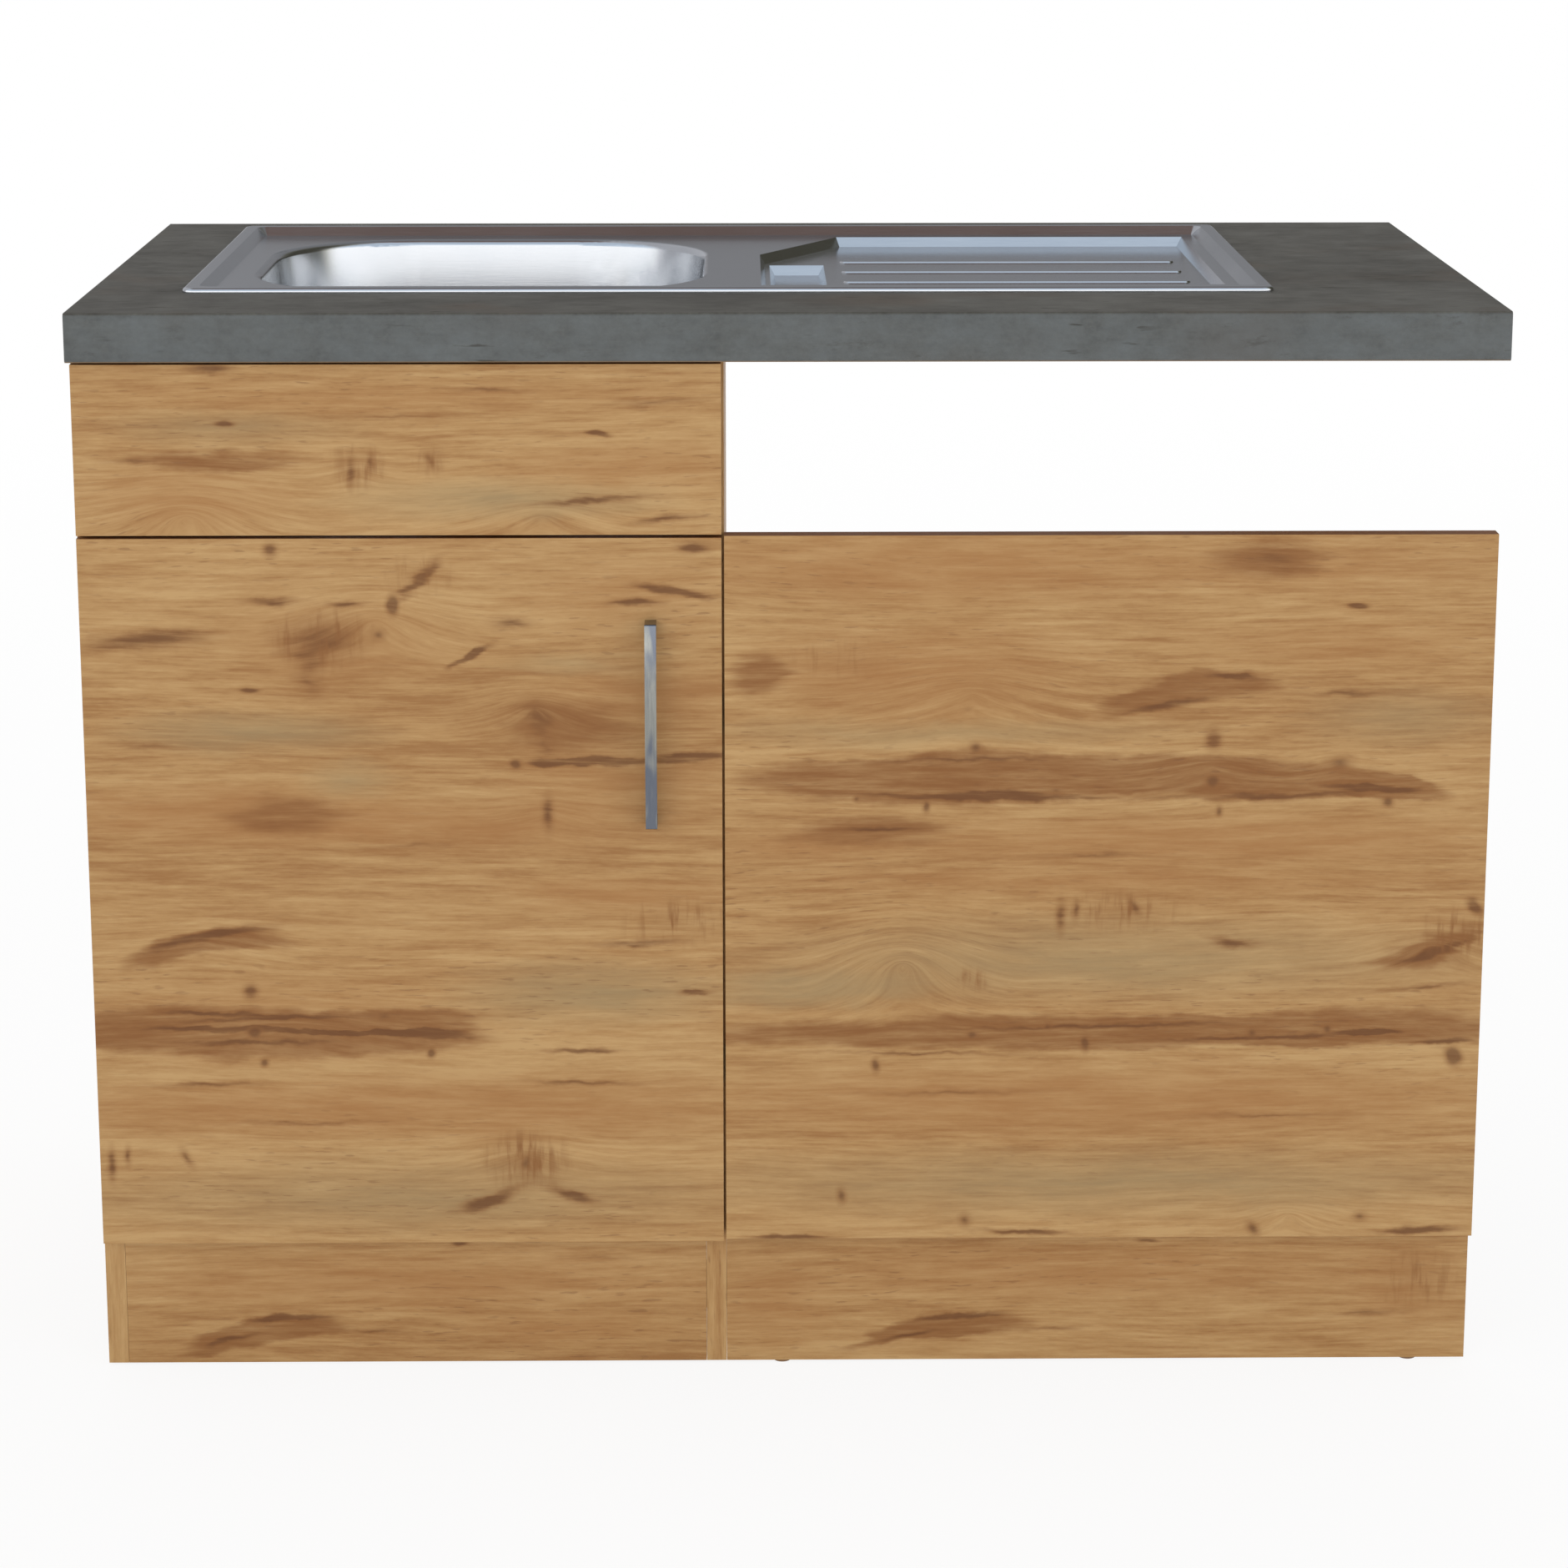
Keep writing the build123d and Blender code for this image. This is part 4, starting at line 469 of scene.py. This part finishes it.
left_band, left_streaks = dark_figure(-425)
left_marks = {
    "warm": [(-300, 70, 300, 30, 0, 0.7), (-180, 30, 100, 20, 0, 0.6)],
    "bands": [left_band],
    "streaks": [*left_streaks, (-265, 103, 12, 3, 0, 0.8), (-150, 90, 50, 4, 0, 0.4)],
}
right_band, right_streaks = dark_figure(118)
right_marks = {
    "warm": [(250, 75, 300, 28, 0, 0.7), (-10, 50, 60, 50, 0, 0.6), (500, 60, 60, 50, 0, 0.6)],
    "bands": [right_band],
    "streaks": [*right_streaks, (290, 103, 14, 3, 0, 0.8), (470, 40, 60, 5, 4, 0.5)],
    "rays": [(510, 70, 40, 30, 0, 0.6)],
}
dress(oak("oak_plinth_left", "XZY", 21.0, left_marks), "plinth_left")
dress(oak("oak_plinth_right", "XZY", 24.6, right_marks), "plinth_right")
soften(0.0006, "plinth_left", "plinth_right")

# ---------------------------------------------------------------- carcass boards
# 16 mm chipboard with the same print: the side panels have upright grain, the bottom and the rails
# grain across the unit. Screws join them, and all but the rear rail show raw chipboard at the rear.

side_marks = {
    "warm": [(430, -60, 300, 60, 0, 0.7), (200, 150, 240, 40, 0, 0.6), (600, -230, 200, 40, 0, 0.6),
             (300, -620, 300, 60, 0, 0.7), (560, -420, 260, 50, 0, 0.6)],
    "olive": [(640, 40, 200, 40, 0, 0.5), (180, -160, 160, 40, 0, 0.5), (500, -560, 220, 40, 0, 0.5)],
    "bands": [(330, 60, 170, 14, 1, 0.8), (620, -150, 130, 12, -2, 0.7), (160, -250, 100, 10, 0, 0.6),
              (420, -480, 180, 14, -1, 0.8), (150, -680, 110, 12, 2, 0.7), (680, -640, 90, 10, 0, 0.6)],
    "streaks": [(350, 52, 120, 4, 1, 0.8), (610, -156, 90, 4, -2, 0.8), (480, 180, 80, 5, 3, 0.7, 0.5),
                (240, -90, 70, 5, -4, 0.8, -0.5), (710, 110, 60, 4, 0, 0.6), (90, 30, 50, 4, 0, 0.6),
                (400, -486, 110, 4, -1, 0.8), (620, -330, 80, 5, 3, 0.7, 0.5),
                (250, -560, 80, 5, 0, 0.7), (560, -720, 70, 4, 0, 0.7)],
    "knots": [(372, 66, 9, 7, 0, 0.9), (600, -138, 8, 6, 0, 0.9), (226, -92, 8, 7, 0, 0.8),
              (520, 130, 6, 5, 0, 0.9), (440, -470, 9, 7, 0, 0.9), (262, -566, 8, 6, 0, 0.8),
              (660, -400, 6, 5, 0, 0.9)],
    "swirls": [(372, 66, 90, 34, 12), (226, -92, 80, 36, 14), (600, -138, 80, 30, 10),
               (440, -470, 90, 34, 12)],
}
dress(oak("oak_sides", "ZYX", 31.0, side_marks, bare="Y"), "side_panel_left", "side_panel_right")
dress(oak("oak_bottom", "XYZ", 35.0, bare="Y"), "bottom_panel", "front_rail")
dress(oak("oak_rail", "XZY", 38.0), "rear_rail")
soften(0.0005, "side_panel_left", "side_panel_right", "bottom_panel", "front_rail", "rear_rail")

# ---------------------------------------------------------------- back panel
# A 3 mm sheet of hardboard, lacquered pale on the inside and bare brown fibre on the rear. It
# stands in grooves of the side panels.

LACQUER_DARK = srgb(208, 203, 192)
LACQUER_LIGHT = srgb(222, 218, 208)
FIBRE_DARK = srgb(112, 80, 52)
FIBRE_LIGHT = srgb(148, 110, 76)
HARDBOARD_RELIEF = 0.0001


def hardboard(place, normal):
    fibre = place.noise((420, 420, 420), 3.0, 0.7)
    cloud = place.noise((9, 9, 9))
    pale = (cloud * 0.6 + fibre * 0.4).step(0.2, 0.8).mix(LACQUER_DARK, LACQUER_LIGHT)
    brown = (fibre * 0.7 + cloud * 0.3).step(0.3, 0.7).mix(FIBRE_DARK, FIBRE_LIGHT)
    rear = normal.axis("Y").step(0.3, 0.7)
    return {
        "Base Color": rear.mix(pale, brown),
        "Roughness": 0.45 + rear * 0.35 + fibre.swing(0.15),
        "Normal": place.bump(fibre * (rear * 0.9 + 0.1), HARDBOARD_RELIEF),
    }


dress(material("hardboard", hardboard), "back_panel")

# ---------------------------------------------------------------- worktop and its end edgings
# A 38 mm chipboard worktop with a slate print on top and down the rounded front edge, brown
# balancing paper underneath, and a 1 mm edging at each end.

SLATE_DARK = srgb(63, 60, 54)
SLATE_MIDDLE = srgb(84, 82, 76)
SLATE_LIGHT = srgb(104, 103, 97)
SLATE_RUST = srgb(88, 75, 62)
# Lighter bluish grey for upright faces: painted light.
SLATE_LIT_FRONT = srgb(101, 107, 110)
PAPER_DARK = srgb(118, 96, 72)
PAPER_LIGHT = srgb(142, 118, 90)
SLATE_RELIEF = 0.00025


def slate(place, normal):
    cloud = place.noise((5, 7, 14), 5.0, 0.6)
    blotch = place.noise((34, 46, 46), 4.0, 0.65)
    speck = place.noise((260, 320, 320), 3.0, 0.7)
    scratch = place.noise((38, 340, 340), 3.0)
    rust = place.noise((6, 8, 8), 3.0).step(0.52, 0.72) * blotch
    stain = place.noise((22, 60, 60), 5.0, 0.7).step(0.56, 0.68) * place.noise((5, 9, 9)).step(0.45, 0.6)
    cut = place.noise((24, 150, 150), 3.0).step(0.63, 0.7) * place.noise((11, 9, 9)).step(0.5, 0.62)
    chip = place.noise(CHIPS, 3.0).step(0.3, 0.7)
    upright = 1.0 - normal.axis("Z").step(0.3, 0.9)
    below = (0.0 - normal.axis("Z")).step(0.5, 0.9)
    rear = normal.axis("Y").step(0.7, 0.95)

    tone = cloud * 0.55 + blotch * 0.45 + speck.swing(0.45) + scratch.swing(0.2)
    colour = tone.ramp([(0.3, SLATE_DARK), (0.5, SLATE_MIDDLE), (0.72, SLATE_LIGHT)])
    colour = rust.mix(colour, SLATE_RUST)
    # Upright faces, such as the rounded front edge, get a lighter bluish tint: painted light from the
    # front.
    colour = (upright * 0.75 * (blotch + 0.25)).mix(colour, SLATE_LIT_FRONT)
    colour = (stain * upright * 0.45).mix(colour, SLATE_DARK)
    colour = (cut * 0.7).mix(colour, SLATE_DARK)
    colour = below.mix(colour, speck.mix(PAPER_DARK, PAPER_LIGHT))
    colour = rear.mix(colour, chip.mix(CHIP_DARK, CHIP_LIGHT))
    return {
        "Base Color": colour,
        "Roughness": 0.62 + speck.swing(0.3) + cut * 0.2 + rear * 0.2,
        "Normal": place.bump(blotch * 0.7 + speck * 0.4 - cut, SLATE_RELIEF),
    }


dress(material("slate", slate, Specular_IOR_Level=0.22), "worktop", "end_trim_left", "end_trim_right")

# ---------------------------------------------------------------- sink, waste flange, strainer, grille
# Pressed stainless sheet with a fine brushed grain along the unit and faint wiping marks. The
# strainer is brushed round its axis and a little darker.

STEEL_RELIEF = 0.000012
SINK_BRUSHING = (30, 900, 900)
SINK_LIGHT = srgb(199, 201, 204)
SINK_DARK = srgb(189, 192, 196)
BASKET_BRUSHING = (300, 300, 900)
BASKET_LIGHT = srgb(196, 199, 201)
BASKET_DARK = srgb(170, 174, 178)


def steel(name, light, dark, rough, brushing, painted_reflection=None):
    """Brushed steel. An optional darker, bluer tint in patches along the piece is a painted reflection."""

    def look(place, normal):
        brush = place.noise(brushing, 3.0, 0.7)
        wipe = place.noise((5, 7, 7), 3.0, 0.55)
        smear = place.noise((28, 34, 34), 3.0)
        tone = brush * 0.5 + wipe * 0.35 + smear * 0.15
        colour = tone.step(0.3, 0.7).mix(dark, light)
        # Darker bluish patches along the piece: painted reflection.
        if painted_reflection:
            reflection_patch = place.noise((60, 60, 17), 2.0, 0.6).step(0.44, 0.6)
            colour = (reflection_patch * 0.75).mix(colour, painted_reflection)
        return {
            "Base Color": colour,
            "Roughness": rough + wipe.swing(0.08) + brush.swing(0.1),
            "Normal": place.bump(brush, STEEL_RELIEF),
        }

    return material(name, look, Metallic=1.0)


sink_steel = steel("sink_steel", SINK_LIGHT, SINK_DARK, 0.19, SINK_BRUSHING)
dress(sink_steel, "sink_shell", "waste_flange", "overflow_grille")
dress(steel("basket_steel", BASKET_LIGHT, BASKET_DARK, 0.2, BASKET_BRUSHING), "strainer_basket")

# ---------------------------------------------------------------- handle
# A bar of satin stainless steel bent from one strip and brushed along its length, held by two
# screws through the door. Bluish patches along it are painted reflections.

HANDLE_BRUSHING = (500, 500, 12)
HANDLE_LIGHT = srgb(156, 156, 150)
HANDLE_DARK = srgb(130, 131, 128)
# Darker blue for the patches on the handle: painted reflection.
HANDLE_PAINTED_REFLECTION = srgb(92, 99, 116)

handle_steel = steel("handle_steel", HANDLE_LIGHT, HANDLE_DARK, 0.24, HANDLE_BRUSHING, HANDLE_PAINTED_REFLECTION)
dress(handle_steel, "door_handle")

# ---------------------------------------------------------------- hinges, brackets, clips and screws
# Hinge parts, angles and clips pressed from steel sheet and plated with zinc, slightly yellowed in
# places. Small screws fix them to the boards and to the sink.

ZINC_GREY = srgb(176, 178, 178)
ZINC_YELLOW = srgb(190, 186, 170)
ZINC_DULL = srgb(132, 134, 134)
ZINC_RELIEF = 0.00003


def zinc(place, normal):
    grain = place.noise((600, 600, 600), 3.0, 0.6)
    cloud = place.noise((40, 40, 40), 3.0)
    tint = cloud.step(0.35, 0.7).mix(ZINC_GREY, ZINC_YELLOW)
    return {
        "Base Color": (grain.step(0.3, 0.75) * 0.35).mix(tint, ZINC_DULL),
        "Roughness": 0.34 + grain.swing(0.3) + cloud.swing(0.1),
        "Normal": place.bump(grain, ZINC_RELIEF),
    }


zinc_steel = material("zinc_steel", zinc, Metallic=1.0)
iron = [part["node"] for part in frame["record"]["subparts"] if part.get("material_slot") == "zinc_steel"]
dress(zinc_steel, *iron)

# ---------------------------------------------------------------- screws
# Zinc-plated screws with a domed head, a pressed cross recess and a rolled thread. Each one takes
# its place, its way and its sizes from the solid that it stands for.

SCREW_SIDES = 32
CORNER_REACH = 0.00001

# Head: rings and the outermost corners in head radii, the recess's half width, length and walls in
# head radii, and the depths of the dome and of the recess in head heights.
HEAD_RINGS = [0.1, 0.2, 0.3, 0.4, 0.5, 0.6, 0.7, 0.8, 0.88, 0.95, 1.0]
HEAD_CORNERS = 0.95
RECESS_HALF_WIDTH = 0.2
RECESS_WALL = 0.08
RECESS_LENGTH = 0.64
RECESS_END = 0.16
DOME_DEPTH = 0.4
RECESS_DEPTH = 0.5

# Thread: its root and its point in shank radii, the point's start in pitches, pitches in metres.
ROOT_SHARE = 0.8
POINT_SHARE = 0.3
POINT_START = 0.7
WOOD_PITCH = 0.0018
CARCASS_PITCH = 0.003
MACHINE_PITCH = 0.0008

bodies = frame["record"]["behaviour"]["bodies"]


def separate_solids(node):
    """The corner points of each separate solid in a CAD node."""
    made = bmesh.new()
    made.from_mesh(nodes[node].data)
    bmesh.ops.remove_doubles(made, verts=made.verts, dist=CORNER_REACH)
    waiting = set(made.verts)
    solids = []
    while waiting:
        front = [waiting.pop()]
        points = []
        while front:
            vert = front.pop()
            points.append(vert.co.copy())
            beside = {edge.other_vert(vert) for edge in vert.link_edges} & waiting
            waiting -= beside
            front += beside
        solids.append(points)
    made.free()
    return solids


def screw_sizes(points):
    """Where a plain turned screw starts, its way, its head and shank radius, head and full length."""
    low = Vector([min(p[i] for p in points) for i in range(3)])
    high = Vector([max(p[i] for p in points) for i in range(3)])
    middle = (low + high) / 2
    size = high - low
    axis = min(range(3), key=lambda i: abs(size[i - 1] - size[i - 2]))
    offsets = [(p[axis - 1] - middle[axis - 1], p[axis - 2] - middle[axis - 2]) for p in points]
    radii = [(x ** 2 + y ** 2) ** 0.5 for x, y in offsets]
    head_radius = max(radii)
    shank_radius = min(radii)
    head_places = [p[axis] for p, r in zip(points, radii) if r > head_radius * HEAD_CORNERS]
    head_first = min(head_places) - low[axis] < high[axis] - max(head_places)
    way = Vector((0, 0, 0))
    way[axis] = 1.0 if head_first else -1.0
    middle[axis] = low[axis] if head_first else high[axis]
    return middle, way, head_radius, shank_radius, max(head_places) - min(head_places), size[axis]


def head_depth(x, y):
    """How deep the head's face lies below its top, in head heights, x and y in head radii."""
    arm = min(max((RECESS_HALF_WIDTH - min(abs(x), abs(y))) / RECESS_WALL, 0.0), 1.0)
    reach = min(max((RECESS_LENGTH - max(abs(x), abs(y))) / RECESS_END, 0.0), 1.0)
    return DOME_DEPTH * (x * x + y * y) + RECESS_DEPTH * arm * reach


def add_ring(made, origin, frame_axes, radius, depth_at):
    """A ring of corners round the screw, each as deep as depth_at gives for its place."""
    across, up, way = frame_axes
    ring = []
    for index in range(SCREW_SIDES):
        angle = radians(360 * index / SCREW_SIDES)
        x, y = cos(angle) * radius, sin(angle) * radius
        ring.append(made.verts.new(origin + across * x + up * y + way * depth_at(x, y)))
    return ring


def join_rings(made, first, second):
    """Faces between two rings."""
    for index in range(SCREW_SIDES):
        after = (index + 1) % SCREW_SIDES
        made.faces.new((first[index], first[after], second[after], second[index]))


def turned_screw(made, points, pitch):
    """One screw in place of a plain solid: the head's face, its rim, the thread and the point."""
    origin, way, head_radius, shank_radius, head_height, length = screw_sizes(points)
    across = way.orthogonal().normalized()
    axes = (across, way.cross(across), way)

    def face_depth(x, y):
        return head_height * head_depth(x / head_radius, y / head_radius)

    rings = [add_ring(made, origin, axes, head_radius * share, face_depth) for share in HEAD_RINGS]
    steps = [(head_radius, head_height), (shank_radius, head_height)]
    crest = head_height + pitch
    while crest < length - pitch:
        steps += [(shank_radius * ROOT_SHARE, crest - pitch / 2), (shank_radius, crest)]
        crest += pitch
    steps.append((shank_radius * ROOT_SHARE, length - pitch * POINT_START))
    steps.append((shank_radius * POINT_SHARE, length))
    for radius, depth in steps:
        rings.append(add_ring(made, origin, axes, radius, lambda x, y: depth))
    for first, second in zip(rings, rings[1:]):
        join_rings(made, first, second)
    made.faces.new(rings[0])
    made.faces.new(rings[-1][::-1])


def screw_set(node, pitch):
    """The turned screws that replace a node of plain ones, on the same body."""
    made = bmesh.new()
    for points in separate_solids(node):
        turned_screw(made, points, pitch)
    bmesh.ops.recalc_face_normals(made, faces=made.faces)
    mesh = bpy.data.meshes.new(node + "_turned")
    made.to_mesh(mesh)
    made.free()
    mesh.materials.append(zinc_steel)
    piece = bpy.data.objects.new(node + "_turned", mesh)
    bpy.context.scene.collection.objects.link(piece)
    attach(piece, next(body for body, members in bodies.items() if node in members))
    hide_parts(node)


thread_pitches = {
    "bracket_screws": WOOD_PITCH, "cup_screws": WOOD_PITCH, "plate_screws": WOOD_PITCH,
    "worktop_screws": WOOD_PITCH, "carcass_screws": CARCASS_PITCH, "clip_screws": MACHINE_PITCH,
    "handle_screws": MACHINE_PITCH, "waste_screw": MACHINE_PITCH,
}
for node, pitch in thread_pitches.items():
    screw_set(node, pitch)

# ---------------------------------------------------------------- plastic and rubber parts
# White moulded drain parts with faint flow marks, oak-brown floor glides, clear door buffers, black
# seals and oak-coloured screw caps. They are pushed, screwed or pressed in place.

MOULD_RELIEF = 0.00004


def moulded(name, light, dark, rough):
    def look(place, normal):
        grain = place.noise((900, 900, 900))
        flow = place.noise((30, 30, 60), 3.0)
        return {
            "Base Color": (flow * 0.7 + grain * 0.3).step(0.25, 0.75).mix(dark, light),
            "Roughness": rough + flow.swing(0.14) + grain.swing(0.1),
            "Normal": place.bump(grain + flow * 0.4, MOULD_RELIEF),
        }

    return material(name, look)


drain_plastic = moulded("drain_plastic", srgb(228, 228, 224), srgb(214, 213, 207), 0.36)
glide_plastic = moulded("glide_plastic", srgb(134, 102, 70), srgb(116, 86, 58), 0.5)
cap_plastic = moulded("cap_plastic", srgb(158, 116, 74), srgb(140, 98, 60), 0.45)
seal_rubber = moulded("seal_rubber", srgb(40, 40, 41), srgb(28, 28, 29), 0.62)
bumper_rubber = moulded("bumper_rubber", srgb(206, 206, 202), srgb(190, 190, 186), 0.3)
dress(drain_plastic, "waste_body", "overflow_elbow", "overflow_pipe", "tail_pipe")
dress(drain_plastic, "trap_body", "trap_cup", "trap_outlet", "union_nuts")
dress(glide_plastic, "panel_glides")
dress(cap_plastic, "screw_caps")
dress(seal_rubber, "sink_seal", "waste_gasket", "basket_seal")
dress(bumper_rubber, "door_bumpers")

# ---------------------------------------------------------------- floor
# A plain white floor without an edge. It keeps the unit's shadow and otherwise glows white to the
# camera, a little less beside the unit than farther away.

FLOOR_HALF = 60.0
FLOOR_DARK = srgb(248, 248, 248)
FLOOR_LIGHT = srgb(251, 251, 251)
WHITE = (1, 1, 1, 1)
NEAR_GLOW = 0.88
NEAR_RADIUS = 1.5
FAR_RADIUS = 5.0


def ray_kinds(tree):
    """Wires that are 1 for the camera's own rays, for reflected ones and for those through glass."""
    outputs = tree.nodes.new("ShaderNodeLightPath").outputs
    return [Wire(tree, outputs["Is " + kind + " Ray"]) for kind in ("Camera", "Glossy", "Transmission")]


mesh = bpy.data.meshes.new("floor")
made = bmesh.new()
corners = [(-1, -1), (1, -1), (1, 1), (-1, 1)]
made.faces.new([made.verts.new((x * FLOOR_HALF, y * FLOOR_HALF, 0.0)) for x, y in corners])
made.to_mesh(mesh)
made.free()
floor = bpy.data.objects.new("floor", mesh)
bpy.context.scene.collection.objects.link(floor)

white = bpy.data.materials.new("floor_white")
white.use_nodes = True
tree = white.node_tree
tree.nodes.clear()
start = Wire(tree, tree.nodes.new("ShaderNodeTexCoord").outputs["Object"])
mottle = start.noise((1.5, 1.5, 1.5), 3.0).step(0.2, 0.8)
diffuse = start.node("ShaderNodeBsdfDiffuse", None, {"Color": mottle.mix(FLOOR_DARK, FLOOR_LIGHT)})
glow = start.node("ShaderNodeEmission", None, {"Color": WHITE, "Strength": 1.0})
camera_ray, glossy_ray, clear_ray = ray_kinds(tree)
seen = (camera_ray + glossy_ray + clear_ray).capped()
distance = start.node("ShaderNodeVectorMath", {"operation": "LENGTH"}, {0: start}, 1)
glowing = seen * distance.step(NEAR_RADIUS, FAR_RADIUS, NEAR_GLOW, 1.0)
surface = start.node("ShaderNodeMixShader", None, {0: glowing, 1: diffuse, 2: glow})
output = tree.nodes.new("ShaderNodeOutputMaterial")
tree.links.new(surface.socket, output.inputs["Surface"])
floor.data.materials.append(white)

# ---------------------------------------------------------------- sky, lamps and camera
# The sky is white to the camera and an even grey light to the unit. In the steel it shows the
# studio: bright in front, darker behind, brownish overhead. Large soft lamps and the camera.

REAR_TINT = (0.94, 0.95, 1.0, 1)
FRONT_BLUE = (0.74, 0.86, 1.0, 1)
RIGHT_YELLOW = (1.0, 0.95, 0.72, 1)
OVERHEAD_BROWN = (1.0, 0.68, 0.58, 1)
OVERHEAD_STRENGTH = 0.2
LOW_FRONT_STRENGTH = 1.9
AMBIENT_STRENGTH = 0.58

world = bpy.data.worlds.new("studio")
bpy.context.scene.world = world
world.use_nodes = True
tree = world.node_tree
tree.nodes.clear()
direction = Wire(tree, tree.nodes.new("ShaderNodeTexCoord").outputs["Generated"])
camera_ray, glossy_ray, clear_ray = ray_kinds(tree)
side = direction.axis("X")
upward = direction.axis("Z")
forward = (0.0 - direction.axis("Y")).step(-0.05, 0.3)
behind = 1.0 - forward
overhead = upward.step(0.94, 0.99)
front_strength = upward.step(0.25, 0.7, LOW_FRONT_STRENGTH, 1.0)
rear_strength = (0.0 - side).step(0.08, 0.3, 0.0, 0.36) + side.step(0.3, 0.65, 0.27, 0.08)
studio = (forward * front_strength + behind * rear_strength) * (1.0 - overhead)
studio = studio + overhead * OVERHEAD_STRENGTH
hue = forward.mix(REAR_TINT, WHITE)
hue = (forward * upward.step(0.3, 0.6)).mix(hue, FRONT_BLUE)
hue = (behind * side.step(0.3, 0.6)).mix(hue, RIGHT_YELLOW)
hue = overhead.mix(hue, OVERHEAD_BROWN)
seen = (camera_ray + clear_ray).capped()
lighting = 1.0 - (seen + glossy_ray).capped()
strength = seen + (1.0 - seen) * glossy_ray * studio + lighting * AMBIENT_STRENGTH
background_inputs = {"Color": glossy_ray.mix(WHITE, hue), "Strength": strength}
background = direction.node("ShaderNodeBackground", None, background_inputs)
output = tree.nodes.new("ShaderNodeOutputWorld")
tree.links.new(background.socket, output.inputs["Surface"])


def lamp(name, place, target, width, height, power):
    """A soft rectangular lamp that shines from its place at a target, in metres and watts."""
    made = bpy.data.lights.new(name, "AREA")
    made.shape = "RECTANGLE"
    made.size = width
    made.size_y = height
    made.energy = power
    piece = bpy.data.objects.new(name, made)
    piece.location = place
    piece.rotation_euler = (Vector(target) - Vector(place)).to_track_quat("-Z", "Y").to_euler()
    piece.visible_glossy = False
    piece.visible_camera = False
    bpy.context.scene.collection.objects.link(piece)


lamp("key", (-2.2, -3.6, 1.9), (0, 0, 0.3), 2.4, 2.0, 26)
lamp("fill", (3.0, -3.2, 1.2), (0, 0, 0.3), 2.4, 2.0, 21)
lamp("front", (-0.1, -3.7, 0.55), (-0.05, 0, 0.1), 2.6, 1.0, 20)
lamp("top", (0.0, 0.6, 3.6), (0, 0, 0.8), 3.0, 2.0, 17)
lamp("rear", (0.0, 4.2, 2.6), (0, 0, 0.4), 3.0, 2.0, 34)
lamp("right", (4.2, 0.5, 1.3), (0, 0, 0.4), 2.4, 1.6, 24)
lamp("left", (-4.2, 0.5, 1.3), (0, 0, 0.4), 2.4, 1.6, 20)

CAMERA_PLACE = (-0.039, -3.3366, 1.2729)
CAMERA_PITCH = 12.73
CAMERA_TURN = 0.66
CAMERA_LENS = 92.7
CAMERA_SHIFT = -0.075

scene = bpy.context.scene
scene.view_settings.view_transform = "Standard"
camera_data = bpy.data.cameras.new("camera")
camera_data.lens = CAMERA_LENS
camera_data.shift_y = CAMERA_SHIFT
camera = bpy.data.objects.new("camera", camera_data)
camera.location = CAMERA_PLACE
camera.rotation_euler = (radians(90 - CAMERA_PITCH), 0, radians(-CAMERA_TURN))
scene.collection.objects.link(camera)
scene.camera = camera
